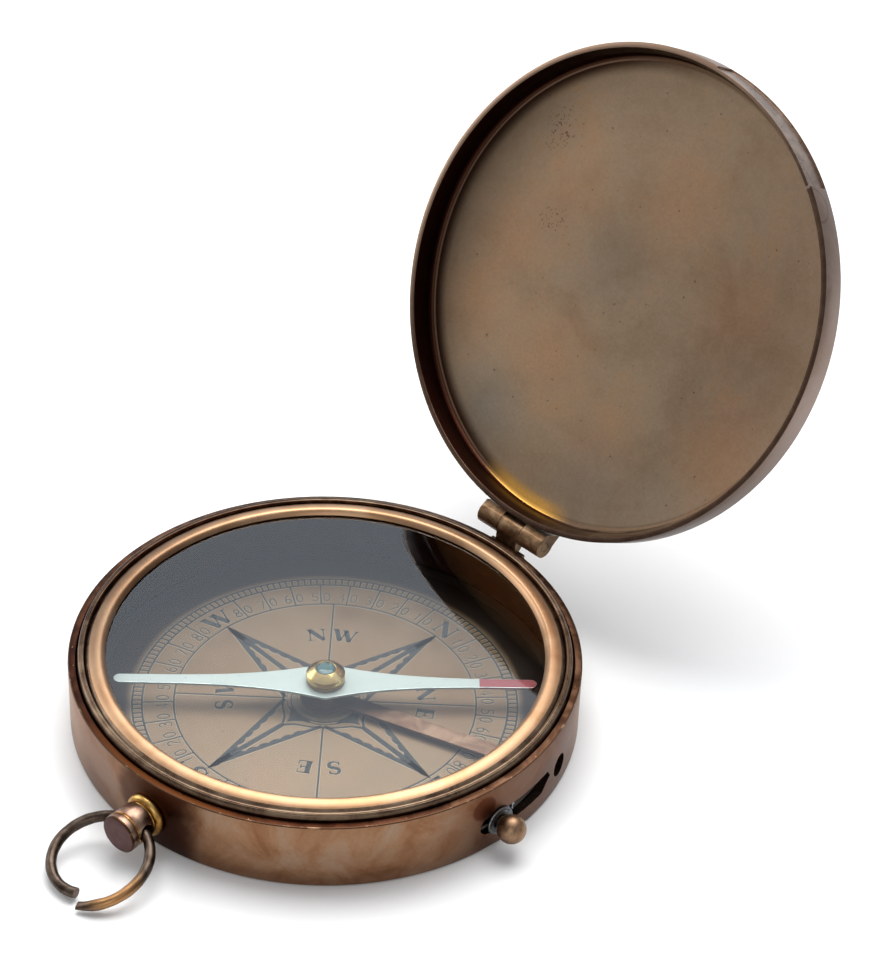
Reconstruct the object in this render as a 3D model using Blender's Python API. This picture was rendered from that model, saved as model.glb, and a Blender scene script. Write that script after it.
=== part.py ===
"""Pocket geology compass, 76 mm across, with a hinged lid, a needle lock and a bow ring.

Metres, +Z up. The origin is the middle of the case's flat underside. The hinge is on the +Y side,
and north on the dial is towards the hinge. The lid is shown open.
"""
import math

import bmesh
import bpy
from mathutils import Matrix, Vector

MM = 0.001

# Case
CASE_RADIUS = 38.0 * MM
CASE_HEIGHT = 11.2 * MM
WALL = 1.15 * MM
FLOOR = 0.8 * MM
EDGE = 0.15 * MM
GAP = 0.2 * MM
TURNED_STEPS = 64

# Dial and needle
DIAL_RADIUS = 35.9 * MM
DIAL_TOP = 1.6 * MM
DIAL_THICKNESS = 0.55 * MM
NEEDLE_HALF_LENGTH = 31.6 * MM
NEEDLE_HALF_WIDTH = 4.0 * MM
NEEDLE_TIP_HALF_WIDTH = 0.95 * MM
NEEDLE_WAIST = 3.3                    # how quickly the blade narrows away from its middle
NEEDLE_BOTTOM = 4.95 * MM
NEEDLE_THICKNESS = 0.4 * MM
NEEDLE_ANGLE = math.radians(46.0)
CAP_RADIUS = 2.88 * MM
CAP_TOP = 7.85 * MM
NECK_RADIUS = 1.35 * MM
POST_RADIUS = 0.6 * MM
POINT_TOP = 6.55 * MM

# Glass and the rings that hold it
GLASS_RADIUS = 35.35 * MM
GLASS_BOTTOM = 10.2 * MM
GLASS_TOP = 11.35 * MM
BEZEL_INNER = 32.45 * MM
BEZEL_OUTER = 35.4 * MM
BAND_INNER = 35.6 * MM
BAND_OUTER = 36.65 * MM

# Needle lifter and its lock
ARM_ANGLE = math.radians(20.0)
ARM_AXIS_RADIUS = 34.5 * MM
ARM_AXIS_HEIGHT = 2.55 * MM
ARM_WIDTH = 2.8 * MM
ARM_THICKNESS = 0.5 * MM
ARM_EYE_RADIUS = 3.8 * MM
ARM_HOLE_RADIUS = 1.5 * MM
SLOT_HEIGHT = 3.1 * MM
SLOT_MIDDLE = 4.5 * MM
SLOT_START = math.radians(-8.0)
SLOT_END = math.radians(15.3)
LOCK_ANGLE = math.radians(-2.8)
BALL_RADIUS = 2.15 * MM
BALL_DISTANCE = 40.6 * MM

# Bow ring and its stud
STUD_ANGLE = math.radians(-84.6)
STUD_HEIGHT = 5.0 * MM
BOW_HOLE_DISTANCE = 41.0 * MM
BOW_HOLE_RADIUS = 1.3 * MM
BOW_RADIUS = 7.2 * MM
BOW_WIRE_RADIUS = 0.8 * MM
BOW_REACH = 6.9 * MM
BOW_REST_HEIGHT = 0.85 * MM
BOW_FIRST = math.radians(-190)
BOW_LAST = math.radians(161)
BOW_STEPS = 42
BOW_SIDES = 10

# Lid and hinge
HINGE_Y = 40.2 * MM
HINGE_Z = 13.0 * MM
HINGE_RADIUS = 1.8 * MM
KNUCKLE_LENGTH = 4.2 * MM
KNUCKLE_GAP = 0.1 * MM
PIN_RADIUS = 0.7 * MM
PIN_BORE = 0.78 * MM
LID_OPEN = math.radians(118.3)
LID_RIM = CASE_HEIGHT + 0.1 * MM
LID_DEPTH = 4.8 * MM
LID_INNER = 36.6 * MM
LID_TOP_THICKNESS = 0.9 * MM
NICK_START = math.radians(-86)
NICK_END = math.radians(-48)
NICK_DEPTH = 0.35 * MM


# ---------------------------------------------------------------- materials

def material(name, colour, roughness, metallic):
    made = bpy.data.materials.get(name)
    if made:
        return made
    made = bpy.data.materials.new(name)
    made.use_nodes = True
    shader = made.node_tree.nodes["Principled BSDF"]
    shader.inputs["Base Color"].default_value = (*colour, 1.0)
    shader.inputs["Roughness"].default_value = roughness
    shader.inputs["Metallic"].default_value = metallic
    return made


def antique_brass():
    return material("antique_brass", (0.33, 0.21, 0.14), 0.42, 1.0)


def lid_brass():
    return material("lid_brass", (0.2, 0.14, 0.09), 0.4, 1.0)


def polished_copper():
    return material("polished_copper", (0.62, 0.36, 0.19), 0.3, 1.0)


def dark_brass():
    return material("dark_brass", (0.14, 0.08, 0.05), 0.4, 1.0)


def dial_metal():
    return material("dial_metal", (0.4, 0.3, 0.24), 0.5, 0.6)


def needle_steel():
    return material("needle_steel", (0.6, 0.72, 0.7), 0.35, 0.3)


def yellow_brass():
    return material("yellow_brass", (0.7, 0.5, 0.2), 0.3, 1.0)


def jewel_stone():
    return material("jewel_stone", (0.1, 0.22, 0.24), 0.1, 0.0)


def spring_copper():
    return material("spring_copper", (0.35, 0.22, 0.15), 0.4, 1.0)


def blued_steel():
    return material("blued_steel", (0.08, 0.1, 0.12), 0.4, 0.9)


def window_glass():
    return material("window_glass", (0.85, 0.9, 0.9), 0.03, 0.0)


# ---------------------------------------------------------------- shape helpers

def add_object(name, mesh_builder, finish, matrix=None, sharp=35.0):
    """Makes one named object from a bmesh, shaded smooth with sharp edges."""
    mesh = bpy.data.meshes.new(name)
    bmesh.ops.recalc_face_normals(mesh_builder, faces=mesh_builder.faces)
    mesh_builder.to_mesh(mesh)
    mesh_builder.free()
    if matrix:
        mesh.transform(matrix)
    mesh.materials.append(finish)
    mesh.shade_smooth()
    mesh.set_sharp_from_angle(angle=math.radians(sharp))
    made = bpy.data.objects.new(name, mesh)
    bpy.context.scene.collection.objects.link(made)
    return made


def turned_mesh(profile, steps):
    """Spins a closed (radius, height) outline about Z."""
    shape = bmesh.new()
    points = [shape.verts.new((radius, 0.0, height)) for radius, height in profile]
    edges = []
    for start, end in zip(points, points[1:] + points[:1]):
        on_axis = start.co.x < 1e-9 and end.co.x < 1e-9
        if not on_axis:
            edges.append(shape.edges.new((start, end)))
    bmesh.ops.spin(shape, geom=points + edges, cent=(0, 0, 0), axis=(0, 0, 1), dvec=(0, 0, 0),
                   angle=math.tau, steps=steps, use_merge=True)
    bmesh.ops.remove_doubles(shape, verts=shape.verts, dist=1e-7)
    return shape


def turned(name, profile, finish, steps=TURNED_STEPS, matrix=None):
    return add_object(name, turned_mesh(profile, steps), finish, matrix)


def extruded(name, outline, bottom, top, finish, matrix=None, sharp=35.0):
    """Extrudes a flat (x, y) outline from bottom to top along Z."""
    shape = bmesh.new()
    face = shape.faces.new([shape.verts.new((x, y, bottom)) for x, y in outline])
    raised = bmesh.ops.extrude_face_region(shape, geom=[face])
    lifted = [item for item in raised["geom"] if isinstance(item, bmesh.types.BMVert)]
    bmesh.ops.translate(shape, verts=lifted, vec=(0, 0, top - bottom))
    return add_object(name, shape, finish, matrix, sharp)


def curved_box(name, inner, outer, start, end, bottom, top, finish, steps=12, top_end=None):
    """A box bent round Z between two radii and two angles; top_end slopes its top."""
    last_top = top if top_end is None else top_end
    shape = bmesh.new()
    rings = []
    for step in range(steps + 1):
        share = step / steps
        angle = start + (end - start) * share
        height = top + (last_top - top) * share
        corners = ((inner, bottom), (outer, bottom), (outer, height), (inner, height))
        rings.append([shape.verts.new((r * math.cos(angle), r * math.sin(angle), z)) for r, z in corners])
    for first, second in zip(rings, rings[1:]):
        for k in range(4):
            shape.faces.new((first[k], first[(k + 1) % 4], second[(k + 1) % 4], second[k]))
    shape.faces.new(rings[0])
    shape.faces.new(rings[-1])
    return add_object(name, shape, finish)


def cylinder(name, radius, length, matrix, finish, steps=24):
    """A cylinder along its own Z, centred on the matrix's origin."""
    half = length / 2
    profile = [(0, -half), (radius, -half), (radius, half), (0, half)]
    return turned(name, profile, finish, steps, matrix)


def hide_cutter(cutter):
    cutter.hide_render = True
    cutter.display_type = "WIRE"


def combine(target, tool, operation):
    hide_cutter(tool)
    step = target.modifiers.new(tool.name, "BOOLEAN")
    step.operation = operation
    step.solver = "EXACT"
    step.object = tool


def cut(target, *cutters):
    for cutter in cutters:
        combine(target, cutter, "DIFFERENCE")


def join(target, *pieces):
    for piece in pieces:
        combine(target, piece, "UNION")


def outward(angle, height, distance=0.0):
    """A frame on a radial line at the given angle and height, with its Z pointing out."""
    direction = Vector((math.cos(angle), math.sin(angle), 0))
    turn = direction.to_track_quat("Z", "Y").to_matrix().to_4x4()
    return Matrix.Translation(direction * distance + Vector((0, 0, height))) @ turn


def tangent(angle, height, distance):
    """A frame at a point of a radial line, with its Z along the circle."""
    direction = Vector((-math.sin(angle), math.cos(angle), 0))
    turn = direction.to_track_quat("Z", "Y").to_matrix().to_4x4()
    place = Vector((distance * math.cos(angle), distance * math.sin(angle), height))
    return Matrix.Translation(place) @ turn


def along_x(x, y, z):
    """A frame at a point with its Z along +X."""
    return Matrix.Translation((x, y, z)) @ Matrix.Rotation(math.pi / 2, 4, "Y")


def arc(centre_x, centre_y, radius, start, end, steps):
    """Points of an arc, both ends included; angles in degrees."""
    points = []
    for step in range(steps + 1):
        angle = math.radians(start + (end - start) * step / steps)
        points.append((centre_x + radius * math.cos(angle), centre_y + radius * math.sin(angle)))
    return points


# ---------------------------------------------------------------- case

def slot_cutter():
    """The lock's slot: round at its left end, filed to a point at its right end."""
    half = SLOT_HEIGHT / 2
    round_end = SLOT_START + half / CASE_RADIUS
    outline = []
    for step in range(9):
        turn = math.radians(90 + 180 * step / 8)
        outline.append((round_end + half * math.cos(turn) / CASE_RADIUS, SLOT_MIDDLE + half * math.sin(turn)))
    straight_end = SLOT_END - math.radians(3.4)
    for step in range(1, 9):
        outline.append((round_end + (straight_end - round_end) * step / 8, SLOT_MIDDLE - half))
    outline.append((SLOT_END, SLOT_MIDDLE + 0.3 * MM))
    outline.append((SLOT_END - math.radians(1.2), SLOT_MIDDLE + half))
    for step in range(8, 0, -1):
        outline.append((round_end + (straight_end - round_end) * step / 8, SLOT_MIDDLE + half))
    shape = bmesh.new()
    rings = []
    for radius in (CASE_RADIUS - 2 * WALL, CASE_RADIUS + WALL):
        rings.append([shape.verts.new((radius * math.cos(a), radius * math.sin(a), z)) for a, z in outline])
    inner, outer = rings
    for k in range(len(outline)):
        after = (k + 1) % len(outline)
        shape.faces.new((inner[k], inner[after], outer[after], outer[k]))
    shape.faces.new(inner)
    shape.faces.new(outer)
    bmesh.ops.triangulate(shape, faces=shape.faces)
    return add_object("cut_slot", shape, dark_brass())


def make_case_body():
    inside = CASE_RADIUS - WALL
    profile = [
        (0, 0),
        (CASE_RADIUS - 0.5 * MM, 0),
        (CASE_RADIUS - 0.15 * MM, 0.15 * MM),
        (CASE_RADIUS, 0.6 * MM),
        (CASE_RADIUS, CASE_HEIGHT - EDGE),
        (CASE_RADIUS - EDGE, CASE_HEIGHT),
        (inside, CASE_HEIGHT),
        (inside, FLOOR),
        (0, FLOOR),
    ]
    body = turned("case_body", profile, antique_brass(), steps=72)
    screw_hole = cylinder("cut_screw_hole", 1.8 * MM, 6 * MM, outward(ARM_ANGLE, 4.3 * MM, 37.5 * MM),
                          dark_brass())
    stud_hole = cylinder("cut_stud_hole", 1.25 * MM, 6 * MM, outward(STUD_ANGLE, STUD_HEIGHT, 37.5 * MM),
                         dark_brass())
    cut(body, slot_cutter(), screw_hole, stud_hole)
    return body


def make_dial_plate():
    profile = [
        (0.75 * MM, DIAL_TOP - DIAL_THICKNESS),
        (DIAL_RADIUS, DIAL_TOP - DIAL_THICKNESS),
        (DIAL_RADIUS, DIAL_TOP - 0.1 * MM),
        (DIAL_RADIUS - 0.1 * MM, DIAL_TOP),
        (0.75 * MM, DIAL_TOP),
    ]
    return turned("dial_plate", profile, dial_metal())


def make_glass():
    edge = 0.12 * MM
    profile = [
        (0, GLASS_BOTTOM),
        (GLASS_RADIUS - edge, GLASS_BOTTOM),
        (GLASS_RADIUS, GLASS_BOTTOM + edge),
        (GLASS_RADIUS, GLASS_TOP - edge),
        (GLASS_RADIUS - edge, GLASS_TOP),
        (0, GLASS_TOP),
    ]
    return turned("glass", profile, window_glass())


def make_glass_seat_ring():
    inner = 34.3 * MM
    outer = CASE_RADIUS - WALL - GAP
    profile = [
        (outer, GLASS_BOTTOM - 0.05 * MM),
        (inner, GLASS_BOTTOM - 0.05 * MM),
        (inner, GLASS_BOTTOM - 0.75 * MM),
        (outer - 0.5 * MM, GLASS_BOTTOM - 0.75 * MM),
        (outer - 0.5 * MM, 7.6 * MM),
        (outer, 7.6 * MM),
    ]
    return turned("glass_seat_ring", profile, dark_brass())


def make_rim_band():
    """The ring that centres the glass, with two turned lines on its top."""
    base = GLASS_BOTTOM + 0.05 * MM
    profile = [
        (BAND_INNER, base),
        (BAND_OUTER, base),
        (BAND_OUTER, CASE_HEIGHT + 0.1 * MM),
        (BAND_OUTER - 0.12 * MM, CASE_HEIGHT + 0.22 * MM),
        (BAND_OUTER - 0.12 * MM, CASE_HEIGHT + 0.68 * MM),
        (BAND_OUTER - 0.35 * MM, CASE_HEIGHT + 0.92 * MM),
        (BAND_OUTER - 0.5 * MM, CASE_HEIGHT + 0.86 * MM),
        (BAND_OUTER - 0.62 * MM, CASE_HEIGHT + 0.97 * MM),
        (BAND_INNER + 0.18 * MM, CASE_HEIGHT + 1.0 * MM),
        (BAND_INNER, CASE_HEIGHT + 0.85 * MM),
    ]
    return turned("rim_band", profile, antique_brass())


def make_bezel_ring():
    """The bright half-round ring that holds the glass down."""
    base = GLASS_TOP + 0.05 * MM
    crown = CASE_HEIGHT + 1.2 * MM
    width = BEZEL_OUTER - BEZEL_INNER
    profile = [(BEZEL_INNER + 0.1 * MM, base), (BEZEL_OUTER, base), (BEZEL_OUTER, base + 0.35 * MM)]
    for step in range(1, 8):
        share = step / 8
        lift = math.sin(math.pi * share ** 0.8)
        profile.append((BEZEL_OUTER - width * share, base + 0.35 * MM * (1 - share) + (crown - base - 0.25 * MM) * lift))
    profile.append((BEZEL_INNER, base + 0.12 * MM))
    return turned("bezel_ring", profile, polished_copper())


# ---------------------------------------------------------------- needle

def make_pivot_post():
    profile = [
        (0, DIAL_TOP - DIAL_THICKNESS + 0.05 * MM),
        (0.65 * MM, DIAL_TOP - DIAL_THICKNESS + 0.05 * MM),
        (0.65 * MM, DIAL_TOP + 0.1 * MM),
        (1.2 * MM, DIAL_TOP + 0.1 * MM),
        (1.2 * MM, DIAL_TOP + 0.4 * MM),
        (POST_RADIUS, DIAL_TOP + 0.5 * MM),
        (POST_RADIUS, POINT_TOP - 1.2 * MM),
        (0, POINT_TOP),
    ]
    return turned("pivot_post", profile, yellow_brass(), steps=24)


def needle_outline():
    """Narrow rounded ends and concave flanks that widen to a blunt point at the hub."""
    quarter = []
    reach = NEEDLE_HALF_LENGTH - NEEDLE_TIP_HALF_WIDTH
    for step in range(13):
        share = step / 12
        x = reach * share
        narrow = (1 - share) ** NEEDLE_WAIST
        quarter.append((x, NEEDLE_TIP_HALF_WIDTH + (NEEDLE_HALF_WIDTH - NEEDLE_TIP_HALF_WIDTH) * narrow))
    tip = arc(reach, 0, NEEDLE_TIP_HALF_WIDTH, 60, 0, 2)
    quarter += tip
    upper_right = quarter
    lower_right = [(x, -y) for x, y in reversed(quarter[:-1])]
    lower_left = [(-x, -y) for x, y in quarter[1:]]
    upper_left = [(-x, y) for x, y in reversed(quarter[1:-1])]
    return upper_right + lower_right + lower_left + upper_left


def make_needle():
    turn = Matrix.Rotation(NEEDLE_ANGLE, 4, "Z")
    needle = extruded("needle", needle_outline(), NEEDLE_BOTTOM, NEEDLE_BOTTOM + NEEDLE_THICKNESS,
                      needle_steel(), turn)
    hub_hole = cylinder("cut_hub_hole", NECK_RADIUS + 0.08 * MM, 3 * MM,
                        Matrix.Translation((0, 0, NEEDLE_BOTTOM)), needle_steel(), 32)
    cut(needle, hub_hole)
    return needle


def make_needle_cap():
    """A turned cap, riveted through the needle, with a bore for the pivot's point."""
    under = NEEDLE_BOTTOM - 0.08 * MM
    over = NEEDLE_BOTTOM + NEEDLE_THICKNESS + 0.08 * MM
    profile = [
        (0.95 * MM, 3.95 * MM),
        (1.95 * MM, 3.95 * MM),
        (2.15 * MM, 4.15 * MM),
        (2.15 * MM, under),
        (NECK_RADIUS, under),
        (NECK_RADIUS, over),
        (CAP_RADIUS - 0.1 * MM, over),
        (CAP_RADIUS, over + 0.1 * MM),
        (CAP_RADIUS, over + 0.45 * MM),
        (CAP_RADIUS - 0.08 * MM, over + 0.53 * MM),
        (CAP_RADIUS, over + 0.61 * MM),
        (CAP_RADIUS, CAP_TOP - 0.85 * MM),
        (CAP_RADIUS - 0.12 * MM, CAP_TOP - 0.72 * MM),
        (1.62 * MM, CAP_TOP),
        (1.5 * MM, CAP_TOP - 0.05 * MM),
        (1.5 * MM, CAP_TOP - 1.15 * MM),
        (0.95 * MM, CAP_TOP - 1.15 * MM),
    ]
    return turned("needle_cap", profile, yellow_brass(), steps=32)


def make_cap_jewel():
    seat = CAP_TOP - 1.05 * MM
    profile = [(0, seat), (1.42 * MM, seat), (1.42 * MM, CAP_TOP - 0.12 * MM)]
    profile += [(1.42 * MM * math.cos(a), CAP_TOP - 0.12 * MM + 0.2 * MM * math.sin(a))
                for a in (math.radians(30), math.radians(60))]
    profile.append((0, CAP_TOP + 0.08 * MM))
    return turned("cap_jewel", profile, jewel_stone(), steps=24)


# ---------------------------------------------------------------- lifter and lock

def make_lift_collar():
    """A loose ring on the post, carried by the arm's eye."""
    profile = [
        (0.72 * MM, 2.9 * MM),
        (2.4 * MM, 2.9 * MM),
        (2.4 * MM, 3.25 * MM),
        (1.35 * MM, 3.35 * MM),
        (1.35 * MM, 3.65 * MM),
        (0.72 * MM, 3.65 * MM),
    ]
    return turned("lift_collar", profile, yellow_brass(), steps=32)


def make_lifter_arm():
    """A flat strip with an eye round the post, a rolled root, and a tab above the lock's nose."""
    middle = ARM_AXIS_HEIGHT
    bottom = middle - ARM_THICKNESS / 2
    top = middle + ARM_THICKNESS / 2
    turn = Matrix.Rotation(ARM_ANGLE, 4, "Z")
    half = ARM_WIDTH / 2
    start = math.degrees(math.asin(half / ARM_EYE_RADIUS))
    outline = arc(0, 0, ARM_EYE_RADIUS, start, 360 - start, 40)
    outline += [(ARM_AXIS_RADIUS, -half), (ARM_AXIS_RADIUS, half)]
    arm = extruded("lifter_arm", outline, bottom, top, spring_copper(), turn)
    root = cylinder("add_arm_root", 0.72 * MM, ARM_WIDTH, tangent(ARM_ANGLE, middle, ARM_AXIS_RADIUS),
                    spring_copper())
    tab = curved_box("add_arm_tab", 31.9 * MM, 33.1 * MM, ARM_ANGLE - math.radians(7.4),
                     ARM_ANGLE - math.radians(1.2), bottom + 0.32 * MM, top + 0.32 * MM, spring_copper(), 6)
    join(arm, root, tab)
    eye = cylinder("cut_arm_eye", ARM_HOLE_RADIUS, 4 * MM, Matrix.Translation((0, 0, middle)),
                   spring_copper(), 32)
    bore = cylinder("cut_arm_bore", 0.42 * MM, 2 * ARM_WIDTH, tangent(ARM_ANGLE, middle, ARM_AXIS_RADIUS),
                    spring_copper(), 16)
    cut(arm, eye, bore)
    return arm


def make_arm_bracket():
    """The block on the wall inside the round hole, with two cheeks for the arm's pin."""
    half = 1.95 * MM
    inner_half = ARM_WIDTH / 2 + 0.1 * MM
    turn = Matrix.Rotation(ARM_ANGLE, 4, "Z")
    back = 35.45 * MM
    front = 33.6 * MM
    face = 36.5 * MM
    block = extruded("arm_bracket", [(back, -half), (face, -half), (face, half), (back, half)],
                     1.75 * MM, 6.6 * MM, yellow_brass(), turn)
    cheeks = extruded("add_cheeks", [(front, -half), (back + 0.3 * MM, -half), (back + 0.3 * MM, half),
                                     (front, half)], 1.75 * MM, 3.5 * MM, yellow_brass(), turn)
    throat = back - 0.1 * MM
    fork = extruded("cut_fork", [(front - MM, -inner_half), (throat, -inner_half), (throat, inner_half),
                                 (front - MM, inner_half)], 1.0 * MM, 8 * MM, yellow_brass(), turn)
    pin_bore = cylinder("cut_pin_bore", 0.4 * MM, 6 * MM, tangent(ARM_ANGLE, ARM_AXIS_HEIGHT, ARM_AXIS_RADIUS),
                        yellow_brass(), 16)
    screw_bore = cylinder("cut_screw_bore", 0.85 * MM, 6 * MM, outward(ARM_ANGLE, 4.3 * MM, 36 * MM),
                          yellow_brass(), 20)
    join(block, cheeks)
    cut(block, fork, pin_bore, screw_bore)
    return block


def make_arm_pin():
    return cylinder("arm_pin", 0.34 * MM, 3.8 * MM, tangent(ARM_ANGLE, ARM_AXIS_HEIGHT, ARM_AXIS_RADIUS),
                    blued_steel(), 16)


def make_arm_screw():
    """The screw in the wall's round hole: its slotted head is sunk in the wall."""
    profile = [
        (0, 35.55 * MM),
        (0.75 * MM, 35.55 * MM),
        (0.75 * MM, 36.6 * MM),
        (1.15 * MM, 36.6 * MM),
        (1.15 * MM, 37.2 * MM),
        (0, 37.3 * MM),
    ]
    screw = turned("arm_screw", profile, yellow_brass(), 24, outward(ARM_ANGLE, 4.3 * MM))
    blade = curved_box("cut_screw_slot", 37.0 * MM, 38.0 * MM, ARM_ANGLE - math.radians(2.5),
                       ARM_ANGLE + math.radians(2.5), 4.15 * MM, 4.45 * MM, yellow_brass(), 2)
    cut(screw, blade)
    return screw


def make_lock_slide():
    """The shoe behind the slot, with a foot that carries a wedge nose under the arm's tab."""
    start = math.radians(-6.5)
    end = math.radians(4.5)
    shoe = curved_box("lock_slide", 35.2 * MM, 36.6 * MM, start, end, 2.9 * MM, 6.3 * MM, blued_steel())
    foot = curved_box("add_lock_foot", 31.7 * MM, 36.2 * MM, math.radians(-2.0), math.radians(0.4),
                      1.85 * MM, 3.3 * MM, blued_steel(), 3)
    nose = curved_box("add_lock_nose", 31.8 * MM, 33.0 * MM, math.radians(0.0), math.radians(4.6),
                      1.9 * MM, 2.75 * MM, blued_steel(), 4, top_end=2.35 * MM)
    bore = cylinder("cut_shoe_bore", 1.08 * MM, 6 * MM, outward(LOCK_ANGLE, SLOT_MIDDLE, 36 * MM),
                    blued_steel(), 24)
    join(shoe, foot, nose)
    cut(shoe, bore)
    return shoe


def make_lock_washer():
    profile = [
        (1.1 * MM, 38.15 * MM),
        (2.3 * MM, 38.15 * MM),
        (2.3 * MM, 38.4 * MM),
        (2.15 * MM, 38.55 * MM),
        (1.1 * MM, 38.55 * MM),
    ]
    return turned("lock_washer", profile, blued_steel(), 32, outward(LOCK_ANGLE, SLOT_MIDDLE))


def make_lock_knob():
    """A ball head on a straight neck that runs through the washer and into the shoe."""
    neck = 1.0 * MM
    first = math.degrees(math.asin(1.2 * MM / BALL_RADIUS))
    profile = [(0, 35.5 * MM), (neck, 35.5 * MM), (neck, 38.7 * MM), (1.2 * MM, 38.7 * MM)]
    for step in range(9):
        angle = math.radians(first + (172 - first) * step / 8)
        profile.append((BALL_RADIUS * math.sin(angle), BALL_DISTANCE - BALL_RADIUS * math.cos(angle)))
    profile.append((0, BALL_DISTANCE + BALL_RADIUS * math.cos(math.radians(8))))
    return turned("lock_knob", profile, antique_brass(), 24, outward(LOCK_ANGLE, SLOT_MIDDLE))


# ---------------------------------------------------------------- stud and bow ring

def make_bow_stud():
    profile = [
        (0, 35.3 * MM),
        (1.1 * MM, 35.3 * MM),
        (1.1 * MM, 38.05 * MM),
        (3.25 * MM, 38.05 * MM),
        (3.3 * MM, 38.5 * MM),
        (3.15 * MM, 38.9 * MM),
        (2.8 * MM, 39.15 * MM),
        (2.5 * MM, 39.25 * MM),
        (2.5 * MM, 39.4 * MM),
        (2.85 * MM, 39.5 * MM),
        (2.9 * MM, 42.25 * MM),
        (2.7 * MM, 42.35 * MM),
        (2.7 * MM, 42.5 * MM),
        (2.95 * MM, 42.6 * MM),
        (2.95 * MM, 43.75 * MM),
        (2.8 * MM, 43.95 * MM),
        (0, 43.95 * MM),
    ]
    stud = turned("bow_stud", profile, antique_brass(), 32, outward(STUD_ANGLE, STUD_HEIGHT))
    hole = cylinder("cut_bow_hole", BOW_HOLE_RADIUS, 9 * MM,
                    tangent(STUD_ANGLE, STUD_HEIGHT, BOW_HOLE_DISTANCE), antique_brass(), 32)
    cut(stud, hole)
    return stud


def make_stud_nut():
    frame = outward(STUD_ANGLE, STUD_HEIGHT)
    nut = turned("stud_nut", [(0.6 * MM, 35.5 * MM), (2.3 * MM, 35.5 * MM), (2.3 * MM, 36.5 * MM),
                              (0.6 * MM, 36.5 * MM)], yellow_brass(), 6, frame)
    bore = cylinder("cut_nut_bore", 1.2 * MM, 6 * MM, outward(STUD_ANGLE, STUD_HEIGHT, 36 * MM),
                    yellow_brass(), 24)
    cut(nut, bore)
    return nut


def bow_radius(angle):
    """The ring's radius round its turn: one cut end is bent in, the other is sprung out."""
    sprung = max(0.0, abs(angle) - math.radians(95)) / math.radians(90)
    bend = -1.05 * MM if angle < 0 else 1.0 * MM
    return BOW_RADIUS + bend * sprung ** 1.6


def make_bow_ring():
    """A split wire ring through the stud's cross hole, lying down from it towards the table."""
    out = Vector((math.cos(STUD_ANGLE), math.sin(STUD_ANGLE), 0))
    side = Vector((-math.sin(STUD_ANGLE), math.cos(STUD_ANGLE), 0))
    drop = math.asin((STUD_HEIGHT - BOW_REST_HEIGHT) / (BOW_REACH + 1.06 * BOW_RADIUS))
    reach = out * math.cos(drop) - Vector((0, 0, 1)) * math.sin(drop)
    hole = out * BOW_HOLE_DISTANCE + Vector((0, 0, STUD_HEIGHT))
    centre = hole + reach * BOW_REACH
    normal = reach.cross(side)
    shape = bmesh.new()
    rings = []
    for step in range(BOW_STEPS + 1):
        angle = BOW_FIRST + (BOW_LAST - BOW_FIRST) * step / BOW_STEPS
        spoke = -reach * math.cos(angle) + side * math.sin(angle)
        middle = centre + spoke * bow_radius(angle)
        wire = BOW_WIRE_RADIUS * (0.7 if step == BOW_STEPS else 1.0)
        ring = []
        for k in range(BOW_SIDES):
            turn = math.tau * k / BOW_SIDES
            offset = spoke * math.cos(turn) + normal * math.sin(turn)
            ring.append(shape.verts.new(middle + offset * wire))
        rings.append(ring)
    for before, after in zip(rings, rings[1:]):
        for k in range(BOW_SIDES):
            shape.faces.new((before[k], before[(k + 1) % BOW_SIDES], after[(k + 1) % BOW_SIDES], after[k]))
    shape.faces.new(rings[0])
    shape.faces.new(rings[-1])
    ring = add_object("bow_ring", shape, antique_brass())
    ring.data.transform(Matrix.Translation(-hole))
    ring.location = hole
    return ring


# ---------------------------------------------------------------- hinge and lid

def knuckle_span(index):
    """First and last x of a knuckle; -1 is the left one, 0 the middle, 1 the right."""
    middle = index * (KNUCKLE_LENGTH + KNUCKLE_GAP)
    return middle - KNUCKLE_LENGTH / 2, middle + KNUCKLE_LENGTH / 2


def opened():
    """Swings a closed lid piece about the hinge axis to its open place."""
    axis = Vector((0, HINGE_Y, HINGE_Z))
    return Matrix.Translation(axis) @ Matrix.Rotation(-LID_OPEN, 4, "X") @ Matrix.Translation(-axis)


def bored_knuckle(name, index, outline, finish, matrix=None):
    """Extrudes a (y, z) outline along the knuckle's length and bores it for the pin."""
    first, last = knuckle_span(index)
    swap = Matrix(((0, 0, 1, 0), (1, 0, 0, 0), (0, 1, 0, 0), (0, 0, 0, 1)))
    place = swap if matrix is None else matrix @ swap
    piece = extruded(name, outline, first, last, finish, place, sharp=40.0)
    bore = cylinder("cut_bore_" + name, PIN_BORE, 3 * KNUCKLE_LENGTH,
                    along_x((first + last) / 2, HINGE_Y, HINGE_Z), finish, 24)
    cut(piece, bore)
    return piece


def make_lid_knuckle(name, index):
    """A barrel with a lug that reaches the lid's wall; the outline is that of the closed lid."""
    wall = CASE_RADIUS + 0.15 * MM
    top = LID_RIM + LID_DEPTH - 0.4 * MM
    outline = arc(HINGE_Y, HINGE_Z, HINGE_RADIUS, -135, 95, 22)
    outline += [(wall, top), (wall, LID_RIM + 0.9 * MM)]
    return bored_knuckle(name, index, outline, lid_brass(), opened())


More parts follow.
